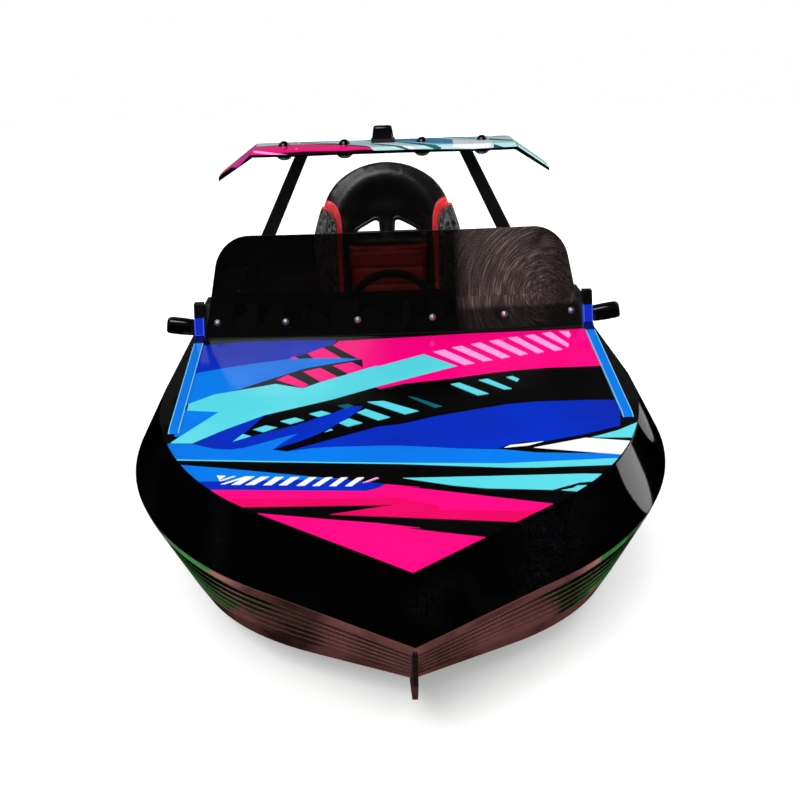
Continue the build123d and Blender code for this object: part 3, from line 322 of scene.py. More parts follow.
def leathercloth(name, colour, tint, roughness, trimmed=False):
    """Vinyl leathercloth, embossed: pebble grain about 1.6 mm across, a little coarse, over soft creases.

    A trimmed one carries the seat's sewn colours, laid out by half width and by height up the reclined back:
    a red band over each shoulder, a grey patch with dark swirls outside it, and red below.
    """
    made, shader, node, place = finish(name, colour, roughness, 0.0, IOR=1.5, Sheen_Weight=0.04)
    cloud = node("TexNoise", {"Vector": place, "Scale": 14.0, "Detail": 4.0})
    ground = node("Mix", {0: node("MapRange", (cloud, 0.4, 0.75)), 6: colour, 7: tint}, **BLEND)
    pebbles = node("TexVoronoi", {"Vector": place, "Scale": 1000 / 1.6}, out="Distance",
                   feature="DISTANCE_TO_EDGE")
    creases = node("TexNoise", {"Vector": place, "Scale": 26.0, "Detail": 4.0, "Distortion": 1.2})
    soft = node("Bump", {"Height": creases, "Distance": 0.0009})
    grain = node("Bump",
                 {"Height": node("MapRange", (pebbles, 0.0, 0.25)), "Distance": 0.00010, "Normal": soft})
    feed(shader, Base_Color=ground, Normal=grain)
    if not trimmed:
        return made
    foot = node("VectorMath", (place, (0.0, *SEAT_FOOT)), operation="SUBTRACT")
    rise = (0.0, math.sin(SEAT_RECLINE), math.cos(SEAT_RECLINE))
    ahead = (0.0, -math.cos(SEAT_RECLINE), math.sin(SEAT_RECLINE))
    high = node("VectorMath", (foot, rise), out="Value", operation="DOT_PRODUCT")
    fore = node("VectorMath", (foot, ahead), out="Value", operation="DOT_PRODUCT")
    side = node("Math", (node("SeparateXYZ", (place,)),), operation="ABSOLUTE")
    inward = node("Math", (SHOULDER_X, side), operation="SUBTRACT")
    above = node("Math", (node("Math", (high, SHOULDER_HIGH), operation="SUBTRACT"), 0.0),
                 operation="MAXIMUM")
    reach = []
    for half, tall, power in ((0.067, 0.113, 2.6), (0.050, 0.076, 2.0)):
        parts = [node("Math",
                      (node("Math", (node("Math", (part, size), operation="DIVIDE"),), operation="ABSOLUTE"),
                       power), operation="POWER") for part, size in ((inward, half), (above, tall))]
        reach.append(node("Math", parts, operation="ADD"))
    front = node("MapRange", (fore, -0.028, -0.024))
    red = node("Math", (node("MapRange", (reach[0], 1.03, 0.97)), front), operation="MULTIPLY")
    grey = node("Math", (node("MapRange", (reach[1], 1.03, 0.97)), node("MapRange", (high, 0.395, 0.405))),
                operation="MULTIPLY")
    marble = node("TexNoise",
                  {"Vector": node("Mapping", {"Vector": place, "Scale": (1.0, 1.0, 0.55)}), "Scale": 17.0,
                   "Detail": 3.0, "Distortion": 2.2})
    veins = node("Math", (node("Math", (marble, 46.0), operation="MULTIPLY"),), operation="SINE")
    swirl = node("Mix", {0: node("MapRange", (veins, 0.0, 0.9)), 6: "#0b0b0c", 7: "#5a5858"}, **BLEND)
    cherry = node("Mix", {0: node("MapRange", (cloud, 0.35, 0.7)), 6: "#e6343c", 7: "#b8141e"}, **BLEND)
    banded = node("Mix", {0: red, 6: ground, 7: cherry}, **BLEND)
    patched = node("Mix", {0: node("Math", (grey, front), operation="MULTIPLY"), 6: banded, 7: swirl},
                   **BLEND)
    seams = [node("MapRange",
                  (node("Math", (node("Math", (value, 1.0), operation="SUBTRACT"),), operation="ABSOLUTE"),
                   0.0, 0.06, 1.0, 0.0)) for value in reach]
    seam = node("Math", (node("Math", seams, operation="MAXIMUM"), front), operation="MULTIPLY")
    dashes = node("Math", (node("Math", (high, 2 * math.pi / 0.006), operation="MULTIPLY"),),
                  operation="SINE")
    beside = node("MapRange", (node("Math", (node("Math", (reach[0], 0.84), operation="SUBTRACT"),),
                                    operation="ABSOLUTE"), 0.0, 0.03, 1.0, 0.0))
    stitch = node("Math",
                  (node("Math", (node("MapRange", (dashes, 0.0, 0.3)), beside), operation="MULTIPLY"), front),
                  operation="MULTIPLY")
    sewn = node("Mix", {0: stitch, 6: patched, 7: "#e8a0a0"}, **BLEND)
    sunk = node("Bump", {"Height": seam, "Distance": 0.0015, "Normal": grain}, invert=True)
    feed(shader, Normal=sunk,
         Base_Color=node("Mix", {0: node("Math", (seam, 0.75), operation="MULTIPLY"), 6: sewn, 7: "#060505"},
                         **BLEND))
    return made


BLACK_VINYL = leathercloth("leathercloth_black", "#040405", "#0a0a0c", 0.32)
RED_VINYL = leathercloth("leathercloth_red", "#c01820", "#9c0e16", 0.42)
SEAT_VINYL = leathercloth("leathercloth_seat_cover", "#040405", "#09090b", 0.28, trimmed=True)
ACRYLIC = smoked_acrylic()
RAIL_FILM = rail_film()
FLOOR_TREAD = tread("rubber_floor_tread", "#101010", 14.0)
DECK_TREAD = tread("rubber_deck_tread", "#0b0b0c", 18.0)

for material, names in (
        (HULL_SIDE, ("lower_hull",)),
        (HULL_BAND, ("topsides",)),
        (MOULDED_ABS, ("keel_fin", "dash_beam", "beacon_base", "battery_block")),
        (FILMS["black"], ("foredeck",)),
        (POLYETHYLENE, ("jet_intake", "rear_bulkhead")),
        (RAIL_FILM, ("deck_rails",)),
        (ACRYLIC, ("windscreen",)),
        (FLOOR_TREAD, ("cockpit_floor",)),
        (DECK_TREAD, ("aft_deck", "motor_hatch")),
        (STAINLESS, ("hatch_hinges", "helm_shaft", "drive_shaft", "steering_rod", "rod_gland")),
        (POWDER_COAT, ("seat_frame", "steering_column", "foot_pedals", "wing_struts", "motor_block")),
        (BLACK_VINYL, ("seat_shell", "seat_cushion")),
        (RED_VINYL, ("seat_back_pad", "thigh_bolsters")),
        (SEAT_VINYL, ("seat_bolsters",)),
        (RUBBER, ("steering_wheel", "cockpit_coamings")),
        (wing_film(), ("wing_panel",)),
        (GLOSS_ABS, ("lamp_caps", "lamp_lenses", "beacon_cover", "mirror_housings")),
        (SILVERED_GLASS, ("mirror_glasses",)),
        (CAST_ALUMINIUM, ("pump_housing", "pump_stator", "steering_nozzle", "ride_plate", "intake_grille")),
        (BRONZE, ("impeller",))):
    for node_name in names:
        NODES[node_name].data.materials.clear()
        NODES[node_name].data.materials.append(material)


# Meshes

def clean(mesh, reach):
    """Merges points within reach of each other and turns all faces outwards."""
    whole = bmesh.new()
    whole.from_mesh(mesh)
    bmesh.ops.remove_doubles(whole, verts=whole.verts, dist=reach)
    bmesh.ops.recalc_face_normals(whole, faces=whole.faces)
    whole.to_mesh(mesh)
    whole.free()


def placed(name, data, columns=None):
    """An object in the scene; columns give its three axes and its place."""
    made = bpy.data.objects.new(name, data)
    bpy.context.scene.collection.objects.link(made)
    if columns is not None:
        made.matrix_world = Matrix(np.vstack([np.column_stack(columns), (0, 0, 0, 1)]).tolist())
    return made


def piece(name, points, faces, materials, slot, picks=None, smooth=True, merged=True):
    """A mesh of these points and faces that rides on the boat; picks gives each face its material's number.

    A merged one is cleaned; otherwise its points stay as they are and its faces already point outwards.
    """
    mesh = bpy.data.meshes.new(name)
    mesh.from_pydata(np.asarray(points).tolist(), [], faces if isinstance(faces, list) else faces.tolist())
    for material in materials if isinstance(materials, list) else [materials]:
        mesh.materials.append(material)
    if picks is not None:
        mesh.polygons.foreach_set("material_index", np.asarray(picks, dtype=np.int32))
    mesh.polygons.foreach_set("use_smooth", np.full(len(mesh.polygons), smooth))
    if merged:
        clean(mesh, 1e-6)
    made = placed(name, mesh)
    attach(made, "boat")
    return made


def grid_faces(rows, columns):
    """Quads that join each point of a grid to its neighbours, and the last column to the first."""
    r, c = np.arange(rows - 1)[:, None], np.arange(columns)[None, :]
    on = (c + 1) % columns
    quads = [r * columns + c, r * columns + on, (r + 1) * columns + on, (r + 1) * columns + c]
    return np.stack(quads, -1).reshape(-1, 4)


def capped_faces(rows, columns):
    """The same, and a face over each end."""
    return grid_faces(rows, columns).tolist() + [
        list(range(columns)), list(range((rows - 1) * columns, rows * columns))]


def joined(meshes):
    """Several meshes of points and faces as one."""
    starts = np.cumsum([0] + [len(points) for points, _ in meshes])
    faces = [[int(i + start) for i in face] for (_, part), start in zip(meshes, starts) for face in part]
    return np.vstack([points for points, _ in meshes]), faces


def unit(vector):
    """Vectors along the last axis, at a length of one."""
    vector = np.asarray(vector, float)
    return vector / np.linalg.norm(vector, axis=-1, keepdims=True)


def turned(profile, centres, axis=(0, 0, 1), sides=20):
    """Profiles of radius and height turned round an axis through each centre, closed at a radius of 0."""
    profile, centres, axis = np.asarray(profile, float), np.atleast_2d(centres), unit(axis)
    side = unit(np.cross(axis, (0.0, 0.0, 1.0) if abs(axis[2]) < 0.9 else (1.0, 0.0, 0.0)))
    angle = np.arange(sides) * 2 * math.pi / sides
    ring = np.cos(angle)[:, None] * side + np.sin(angle)[:, None] * np.cross(axis, side)
    points = centres[:, None, None, :] + profile[:, None, :1] * ring + profile[:, None, 1:] * axis
    starts = np.arange(len(centres)) * len(profile) * sides
    faces = grid_faces(len(profile), sides)[None] + starts[:, None, None]
    return points.reshape(-1, 3), faces.reshape(-1, 4)


def looped(path, radius, up, sides=10):
    """A circle carried round a closed path and kept square to it."""
    side = unit(np.cross(np.roll(path, -1, 0) - np.roll(path, 1, 0), up))
    top = np.cross(side, unit(np.roll(path, -1, 0) - np.roll(path, 1, 0)))
    angle = np.arange(sides)[None, :, None] * 2 * math.pi / sides
    ring = path[:, None] + radius * (np.cos(angle) * side[:, None] + np.sin(angle) * top[:, None])
    return np.concatenate([ring, ring[:1]]).reshape(-1, 3), grid_faces(len(path) + 1, sides)


# Livery: flat pieces of vinyl film, cut to the edge of what they lie on. Each is a colour and a plan outline
# of x and y in millimetres, in the order of laying

DECK_LIVERY = [
    # Rear left corner, and the pink rear field with chips cut into it
    ("royal", [-627, -240, -571, -240, -454, -225, -253, -229, -176, -236, -186, -267, -212, -282, -262, -319,
        -308, -348, -416, -373, -490, -393, -572, -420, -617, -434]),
    ("azure", [-572, -420, -490, -393, -416, -373, -308, -350, -231, -352, -163, -356, -104, -368, -188, -391,
        -259, -413, -315, -446, -458, -537, -505, -551, -568, -599, -606, -624, -617, -434]),
    ("pink", [-169, -243, 14, -235, 204, -224, 583, -217, 655, -223, 604, -465, 569, -464, 417, -464, 331,
        -472, 246, -486, 147, -508, 17, -527, -52, -553, -93, -515, -100, -372, -115, -361, -186, -272]),
    ("pink", [-260, -319, -214, -284, -160, -356, -240, -351]),
    ("pink", [-310, -348, -296, -335, -282, -351]),
    ("pink", [-340, -478, -309, -449, -249, -513, -264, -532]),
    ("pink", [-268, -433, -219, -414, -168, -474, -217, -498]),
    ("pink", [-184, -402, -129, -385, -90, -432, -140, -457]),
    # Arrow, wedge and the band right across, with the blue field behind them
    ("cyan", [-568, -599, -505, -551, -455, -536, -340, -502, -264, -534, -223, -505, -63, -415, -49, -416,
        79, -351, 169, -434, -52, -536, -186, -605, -356, -674, -464, -750, -531, -806, -586, -801, -586,
        -798, -567, -770, -482, -650, -567, -635]),
    ("azure", [-567, -635, -482, -650, -567, -770, -582, -768, -579, -626]),
    ("royal", [-527, -808, -464, -750, -356, -674, -405, -768, -383, -782, -272, -733, -178, -677, -134, -644,
        -100, -647, -116, -679, -162, -732, -215, -784, -261, -816, -328, -852, -296, -811, -266, -778, -312,
        -794, -361, -819, -397, -836, -431, -843, -474, -835]),
    ("azure", [-593, -802, -527, -810, -474, -836, -431, -844, -397, -837, -360, -820, -312, -796, -266, -778,
        -296, -811, -326, -852, -289, -863, -232, -852, -175, -849, -61, -852, -9, -855, 134, -879, 247, -892,
        327, -912, 523, -931, 556, -934, 539, -945, 502, -951, 358, -953, 239, -955, -12, -935, -212, -916,
        -551, -881, -582, -879]),
    ("cyan", [-582, -879, -551, -881, -212, -916, -12, -935, 239, -955, 358, -953, 507, -951, 533, -952, 512,
        -982, 494, -980, 317, -979, 251, -975, -12, -940, -174, -924, -399, -901, -551, -885, -581, -883]),
    ("royal", [-289, -862, -176, -810, -59, -757, -5, -750, 96, -713, 199, -686, 283, -665, 365, -657, 487,
        -658, 584, -664, 555, -799, 537, -804, 455, -834, 354, -860, 297, -859, 253, -874, 232, -886, 134,
        -879, -9, -855, -61, -852, -175, -849, -232, -852]),
    ("white", [248, -883, 265, -872, 319, -865, 350, -860, 310, -877]),
    ("white", [321, -888, 457, -851, 584, -878, 536, -938, 497, -928]),
    ("cyan", [471, -850, 543, -821, 601, -785, 642, -766, 603, -861, 570, -857]),
    ("cyan", [-7, -1003, 204, -1009, 421, -1014, 471, -1019, 451, -1048, 407, -1050, 338, -1077, 286, -1071,
        184, -1060, 110, -1043]),
    # Blades and strips towards the bow, and the pink point
    ("cyan", [357, -1080, 385, -1073, 398, -1063, 434, -1063, 407, -1090]),
    ("azure", [-555, -904, -536, -909, -433, -931, -213, -985, -151, -998, -449, -987, -500, -984]),
    ("royal", [-500, -984, -449, -987, -151, -998, -48, -1027, -65, -1041, -94, -1053, -445, -1024, -467,
        -1022]),
    ("pink", [-467, -1022, -445, -1024, -94, -1053, -65, -1041, -48, -1027, 31, -1045, -15, -1038, 125, -1076,
        329, -1134, 355, -1143, 275, -1219, 247, -1200, -20, -1163, -179, -1142, -66, -1120, -31, -1114, -241,
        -1105, -370, -1100, -391, -1100]),
    ("crimson", [-412, -1064, -207, -1078, 29, -1088, -17, -1091, 69, -1122, 71, -1141, 317, -1164, 276,
        -1214, 247, -1200, -20, -1163, -179, -1142, -66, -1120, -31, -1114, -241, -1105, -370, -1100, -391,
        -1100]),
    ("pink", [-365, -1123, -341, -1126, -170, -1163, -68, -1183, 23, -1207, -22, -1202, 78, -1229, 184, -1256,
        215, -1263, -3, -1451, -70, -1415, -341, -1160]),
    ("cyan", [-429, -806, -407, -770, -385, -782]),
    # Blocks of the dashed stripe, from its left end
    ("cyan", [-382, -749, -351, -730, -321, -743, -355, -764]),
    ("cyan", [-315, -711, -278, -695, -253, -710, -288, -728]),
    ("cyan", [-241, -678, -209, -664, -184, -680, -216, -696]),
    ("teal", [-167, -640, -138, -632, -126, -643, -142, -660]),
    ("cyan", [-198, -775, -183, -760, -177, -766]),
    ("cyan", [-162, -732, -136, -710, -101, -736, -138, -752]),
    ("cyan", [-115, -681, -92, -663, -29, -712, -60, -726]),
    ("cyan", [-87, -625, -44, -623, 47, -685, 10, -699]),
    ("teal", [23, -604, 40, -610, 110, -665, 90, -670]),
    ("cyan", [142, -542, 167, -536, 240, -604, 210, -611]),
    ("cyan", [221, -524, 247, -519, 306, -581, 285, -583]),
    ("cyan", [299, -513, 317, -508, 333, -527, 325, -541]),
    ("pale_pink", [107, -339, 141, -329, 220, -422, 190, -430]),
    # Pale bars fanned over the pink field
    ("pale_pink", [164, -316, 194, -308, 273, -406, 247, -412]),
    ("pale_pink", [222, -299, 250, -290, 325, -389, 301, -398]),
    ("pale_pink", [277, -283, 305, -274, 378, -375, 355, -384]),
    ("pale_pink", [334, -265, 362, -260, 427, -365, 407, -374]),
    ("pale_pink", [387, -254, 415, -249, 482, -355, 459, -362]),
    ("pale_pink", [439, -243, 467, -236, 507, -322, 501, -342]),
    ("pale_pink", [493, -233, 522, -235, 522, -267, 512, -278]),
    ("white", [-452, -963, -430, -965, -443, -983]),
    # White bars over the left blade
    ("white", [-444, -986, -437, -987, -406, -969, -413, -968]),
    ("white", [-439, -1001, -428, -1001, -371, -972, -382, -971]),
    ("white", [-413, -1005, -392, -1006, -360, -973, -381, -973]),
    ("white", [-379, -1008, -358, -1009, -325, -976, -346, -976]),
    ("white", [-337, -1012, -318, -1013, -290, -980, -310, -979]),
    ("white", [-300, -1015, -281, -1016, -253, -983, -273, -983]),
    ("white", [-258, -1020, -239, -1021, -212, -987, -230, -987]),
    ("white", [-221, -1024, -204, -1024, -174, -990, -191, -990]),
    ("white", [-181, -1027, -165, -1028, -138, -993, -154, -993]),
    ("white", [-144, -1030, -128, -1031, -99, -996, -115, -996]),
    ("pale_pink", [-103, -1018, -94, -1017, -64, -1000, -70, -998]),
]


def sheer_line():
    """Half of the deck's plan edge from its tip: a straight entry, then an arc to the parallel part."""
    tilt = math.atan(DECK_SLOPE)
    length = (BREAK - BOW_TIP) / math.cos(tilt)
    corner = -length + SHEER_HALF * math.tan(SHEER_ENTRY)
    tangent = -corner * SHEER_ARC
    radius = tangent / math.tan((math.pi / 2 - SHEER_ENTRY) / 2)
    angle = np.linspace(math.pi / 2 - SHEER_ENTRY, 0, 25)
    arc = np.stack([SHEER_HALF - radius + radius * np.cos(angle), corner + tangent - radius * np.sin(angle)],
                   1)
    line = np.vstack([[(0.0, -length)], arc])
    line[:, 1] = BREAK + line[:, 1] * math.cos(tilt)
    return line


def cut(outline, point, inward):
    """The part of an outline inward of a line: kept corners, and a new one where a side crosses it."""
    reach = (outline - point) @ inward
    ahead, reach_ahead = np.roll(outline, -1, 0), np.roll(reach, -1)
    keep = reach >= 0
    crosses = keep != (reach_ahead >= 0)
    share = np.where(crosses, reach / np.where(crosses, reach - reach_ahead, 1.0), 0.0)
    crossing = outline + share[:, None] * (ahead - outline)
    both = np.stack([outline, crossing], 1)
    return both[np.stack([keep, crosses], 1)]


def cut_to(outline, border):
    """The outline cut by each side of a convex border that runs anticlockwise."""
    for start, end in zip(border, np.roll(border, -1, 0)):
        if len(outline) < 3:
            return outline
        side = end - start
        outline = cut(outline, start, np.array([-side[1], side[0]]) / np.linalg.norm(side))
    return outline


def films(name, livery, borders, height, first_lift=0.0003, step=0.00004):
    """Pieces of film laid in order on a surface height(x, y), each a little higher and cut to the borders.

    Each piece is its outline, lifted, and the same outline under the surface, joined by a wall all round.
    """
    points, faces, picks, count = [], [], [], 0
    colours = list(FILMS)
    for order, (colour, outline) in enumerate(livery):
        for border in borders:
            shape = cut_to(np.reshape(outline, (-1, 2)) / 1000, border)
            sides = len(shape)
            if sides < 3:
                continue
            ahead = np.roll(shape, -1, 0)
            if np.sum(shape[:, 0] * ahead[:, 1] - shape[:, 1] * ahead[:, 0]) < 0:
                shape = shape[::-1]
            low = height(shape[:, 0], shape[:, 1])
            lift = first_lift + order * step
            points += [np.column_stack([shape, low + lift]), np.column_stack([shape, low - lift])]
            on = (np.arange(sides) + 1) % sides
            wall = np.column_stack([np.arange(sides), on, on + sides, np.arange(sides) + sides]) + count
            faces += [list(range(count, count + sides)),
                      list(range(count + 2 * sides - 1, count + sides - 1, -1))]
            faces += wall[:, ::-1].tolist()
            picks += [colours.index(colour)] * (sides + 2)
            count += 2 * sides
    piece(name, np.vstack(points), faces, list(FILMS.values()), "deck_print", picks, smooth=False,
          merged=False)


def deck_height(x, y):
    """The foredeck's top: a plane that rises from the bow's tip."""
    return DECK_Z + DECK_SLOPE * (y - BOW_TIP)


def lay_deck_livery():
    """The deck's films, cut to the bow inside the sheer line and to the strip between the rails."""
    line = sheer_line() * (0.9985, 1.0)
    line[0, 1] += 0.003
    front = line[line[:, 1] < DECK_CORNER - 0.001]
    front = np.vstack([front, [(np.interp(DECK_CORNER, line[:, 1], line[:, 0]), DECK_CORNER)]])
    bow = np.vstack([front, front[::-1][:-1] * (-1, 1)])
    back = STATION - 0.002
    strip = np.array([(-RAIL_INNER, DECK_CORNER), (RAIL_INNER, DECK_CORNER), (RAIL_INNER, back),
                      (-RAIL_INNER, back)])
    films("deck_livery", DECK_LIVERY, [bow, strip], deck_height)


lay_deck_livery()

WING_LIVERY = [
    # Pink half
    ("pink", [-640, 760, -500, 770, -330, 770, -150, 784, -24, 784, -24, 802, -71, 860, -185, 953, -255, 987,
        -369, 1020, -500, 1030, -560, 1110, -640, 1130]),
    ("black", [-474, 776, -400, 803, -300, 812, -150, 806, -70, 812, -20, 802, 20, 760, -474, 760]),
    # Pale half and the line between them
    ("ice_blue", [-500, 1069, -257, 1063, 7, 1089, 4, 901, -48, 858, -185, 953, -255, 987, -369, 1011, -491,
        971]),
    ("black", [-373, 1088, -258, 1086, -188, 1113, -179, 1079, -257, 1048, -371, 1049]),
    ("black", [-370, 1041, -185, 990, -48, 858, -15, 800, -48, 823, -184, 949, -254, 983]),
    ("pale_pink", [-492, 840, -304, 761, -150, 694, -150, 675, -303, 740, -490, 816]),
    ("ice_blue", [-80, 1048, -20, 1101, 505, 1085, 501, 762, 263, 646, -7, 714, -61, 860]),
    # Blocks, stripes and strokes
    ("sea_blue", [-80, 1083, -45, 1126, 36, 1157, 176, 1112, 273, 1004, 263, 860, 196, 878, 109, 961, 33,
        1033, -51, 1040]),
    ("teal", [38, 1023, 141, 910, 216, 808, 208, 771, 129, 864, 47, 978]),
    ("teal", [-51, 963, 30, 899, 103, 807, 101, 776, 19, 854, -51, 930]),
    ("white", [-51, 988, 21, 943, 143, 773, 133, 752, 20, 894, -51, 955]),
    ("white", [272, 975, 419, 899, 394, 764, 259, 808]),
    ("teal", [415, 826, 494, 740, 483, 697, 410, 779]),
    ("black", [417, 994, 498, 919, 495, 890, 410, 953]),
    ("black", [443, 1094, 490, 1071, 488, 1049, 439, 1059]),
    ("black", [335, 729, 397, 791, 412, 716, 397, 629, 321, 634]),
    ("black", [245, 1088, 364, 1027, 361, 1001, 243, 1066]),
    ("ice_blue", [500, 780, 640, 780, 640, 1130, 500, 1090]),
]


def wing_height(x, y):
    """The lower of the flat top, the bevel along the front edge and the two drooping tips."""
    bevel = WING_TOP - 0.0133 * np.clip((WING_FRONT + WING_FOLD - y) / 0.056, 0, None)
    tip = WING_TOP - (np.abs(x) - WING_HALF) * TIP_FALL
    return np.minimum(np.minimum(WING_TOP, bevel), tip)


def lay_wing_livery():
    """The wing's films, cut to its flat top, to five parts of the bevelled front edge and to the two tips."""
    fold, back, tip = WING_FRONT + WING_FOLD, WING_BACK - 0.003, WING_HALF + 0.129
    top = np.array([(-WING_HALF, fold), (WING_HALF, fold), (WING_HALF, back), (-WING_HALF, back)])
    edge = [(-WING_HALF, 0.014), (-0.33, 0.003), (-0.15, 0.018), (0.15, 0.018), (0.33, 0.003),
            (WING_HALF, 0.014)]
    bevels = [np.array([(x, WING_FRONT + deep), (next_x, WING_FRONT + next_deep), (next_x, fold), (x, fold)])
              for (x, deep), (next_x, next_deep) in zip(edge, edge[1:])]
    left = np.array([(-WING_HALF, WING_FRONT + 0.015), (-WING_HALF, back), (-tip, WING_FRONT + 0.197),
                     (-tip, WING_FRONT + 0.073)])
    films("wing_livery", WING_LIVERY, [top, *bevels, left, (left * (-1, 1))[::-1]], wing_height)


# Camera, lights and floor

def make_camera():
    """The camera of the photograph: low pitch, a slight turn and a slight roll."""
    pitch, yaw, roll = (math.radians(a) for a in (19.669, 1.301, 1.689))
    ahead = np.array([math.sin(yaw), math.cos(yaw), 0.0])
    side = np.array([math.cos(yaw), -math.sin(yaw), 0.0])
    down = np.array([0.0, 0.0, -1.0])
    look = ahead * math.cos(pitch) + down * math.sin(pitch)
    up = ahead * math.sin(pitch) - down * math.cos(pitch)
    right = math.cos(roll) * side - math.sin(roll) * up
    up = math.sin(roll) * side + math.cos(roll) * up
    data = bpy.data.cameras.new("camera")
    data.lens = 49.5
    data.sensor_width = 36.0
    bpy.context.scene.camera = placed("camera", data, [right, up, -look, (-0.063, -3.396, 1.596)])


def make_light(name, kind, strength, direction, size, place=(0.0, 0.0, 0.0), height=None):
    """A light that shines along a direction; its size is an angle for a sun, and a width for an oval area."""
    data = bpy.data.lights.new(name, kind)
    data.energy = strength
    if kind == "SUN":
        data.angle = size
    else:
        data.shape = "ELLIPSE"
        data.size, data.size_y = size, height or size
    back = -unit(direction)
    side = unit(np.cross((0.0, 0.0, 1.0), back))
    placed(name, data, [side, np.cross(back, side), back, place])


def make_world():
    """White to the camera, an even sky for the light, and a dim one with a paler horizon in reflections."""
    world = bpy.data.worlds.new("studio")
    world.use_nodes = True
    bpy.context.scene.world = world
    world.node_tree.nodes.clear()
    node = partial(add, world.node_tree)
    up = node("SeparateXYZ", (node("TexCoord", out="Generated"),), out=2)
    horizon = node("MapRange", (node("Math", (up,), operation="ABSOLUTE"), 0.0, 0.45, 0.10, 0.02))
    mirrored = node("Background", {"Color": "#ffffff", "Strength": horizon})
    even = node("Background", {"Color": "#ffffff", "Strength": 0.62})
    seen = node("Background", {"Color": "#ffffff", "Strength": 1.0})
    lit = node("MixShader", (node("LightPath", out="Is Diffuse Ray"), mirrored, even))
    node("OutputWorld", {"Surface": node("MixShader", (node("LightPath", out="Is Camera Ray"), lit, seen))})


def make_floor():
    """A pale painted floor. Mirrored and bent rays find it black far off, and a painted reflection round the
    hull.

    That painted reflection is a glow seen only by mirrored and bent rays, in the colours of warm paving with
    clumps of grass round the bow, and grey behind it.
    """
    low = cad_box[0][2] - 0.0005
    mesh = bpy.data.meshes.new("floor")
    mesh.from_pydata([(-12, -12, low), (12, -12, low), (12, 14, low), (-12, 14, low)], [], [(0, 1, 2, 3)])
    paint, shader, node, place = finish("painted_studio_floor", "#f7f7f6", 0.85, Emission_Color="#ffffff",
                                        Emission_Strength=0.30)
    dapple = node("TexNoise", {"Vector": place, "Scale": 3.0, "Detail": 3.0})
    feed(shader, Base_Color=node("Mix", {0: dapple, 6: "#fafaf9", 7: "#f4f4f3"}, **BLEND))
    # Painted reflection: the ring round the hull below glows for mirrored and bent rays only, so the gloss
    # hull shows a ground that is not there
    near = node("VectorMath", (node("VectorMath", (place, (0.74, 0.50, 0.0)), operation="MULTIPLY"),),
                out="Value", operation="LENGTH")
    clump = node("TexNoise", {"Vector": place, "Scale": 2.6, "Detail": 3.0, "Distortion": 0.8})
    aside = node("Math", (node("SeparateXYZ", (place,)),), operation="ABSOLUTE")
    grown = node("MapRange", (node("Math", (clump, 0.55, aside), operation="MULTIPLY_ADD"), 0.90, 0.94))
    painted_reflection_colour = node("Mix", {0: grown, 6: "#f09a92", 7: "#4fae58"}, **BLEND)
    behind = node("MapRange", (node("SeparateXYZ", (place,), out=1), -0.55, -0.20))
    ground = node("Mix", {0: behind, 6: painted_reflection_colour, 7: "#7c7a78"}, **BLEND)
    patchy = node("MapRange", (clump, 0.35, 0.65, 1.9, 0.25))
    beyond = node("MapRange", (near, 0.62, 0.80, 1.0, 0.0))
    under = node("MapRange", (near, 0.52, 0.63, 0.0, 1.0))
    reflection_glow = node("Math", (node("Math", (beyond, under), operation="MULTIPLY"), patchy), operation="MULTIPLY")
    # dark is the painted reflection: an emission that only mirrored and bent rays see
    dark = node("Emission", {"Color": ground, "Strength": reflection_glow})
    direct = node("Math", (node("LightPath", out="Is Camera Ray"), node("LightPath", out="Is Diffuse Ray")),
                  operation="MAXIMUM")
    feed(paint.node_tree.nodes["Material Output"],
         Surface=node("MixShader", (direct, dark, shader.outputs[0])))
    mesh.materials.append(paint)
    placed("floor", mesh)


bpy.context.scene.view_settings.view_transform = "Standard"
make_camera()
make_world()
make_light("key", "SUN", 2.1, (0.35, 0.75, -1.0), math.radians(40))
make_light("side", "AREA", 22.0, (-1.0, -0.2, -0.15), 0.9, (3.2, 0.6, 1.1))
for share in (1.0, 0.72, 0.46, 0.22):
    make_light("flank", "AREA", 0.85 * share, (-1.0, -0.45, 0.1), 0.50 * share, (2.0, -0.15, 0.26),
               0.48 * share)
    make_light("flank edge", "AREA", 0.27 * share, (-0.55, -0.85, 0.15), 0.56 * share, (1.74, 0.98, 0.20),
               0.40 * share)
make_light("quarter", "AREA", 40.0, (-0.8, -0.35, -0.55), 1.8, (3.9, 2.6, 2.9))
for across in (-1, 1):
    make_light("crown", "AREA", 8.0, (-2.6 * across, -2.75, -2.5), 1.0, (2.6 * across, 3.5, 3.45))
make_floor()


# Seat

def seat_place(across, high, fore):
    """Points of the reclined back: across it, up it from its foot, and ahead of its front face."""
    lean_y, lean_z = math.sin(SEAT_RECLINE), math.cos(SEAT_RECLINE)
    across, high, fore = np.broadcast_arrays(across, high, fore)
    return np.stack([across, SEAT_FOOT[0] + high * lean_y - fore * lean_z,
                     SEAT_FOOT[1] + high * lean_z + fore * lean_y], -1)


def seat_parts(points):
    """The same three measures of points that are given in the boat's frame: the inverse of seat_place."""
    y, z = points[:, 1] - SEAT_FOOT[0], points[:, 2] - SEAT_FOOT[1]
    lean_y, lean_z = math.sin(SEAT_RECLINE), math.cos(SEAT_RECLINE)
    return points[:, 0], y * lean_y + z * lean_z, -y * lean_z + z * lean_y


def smooth_step(value, low, high):
    """Nought below low, one above high, and 3t^2 - 2t^3 between them."""
    share = np.clip((value - low) / (high - low), 0.0, 1.0)
    return share * share * (3 - 2 * share)


def read_points(mesh):
    """A mesh's points as rows of x, y and z."""
    points = np.empty(len(mesh.vertices) * 3)
    mesh.vertices.foreach_get("co", points)
    return points.reshape(-1, 3)


def settled(made):
    """The object's mesh with its modifiers worked in."""
    graph = bpy.context.evaluated_depsgraph_get()
    return bpy.data.meshes.new_from_object(made.evaluated_get(graph))


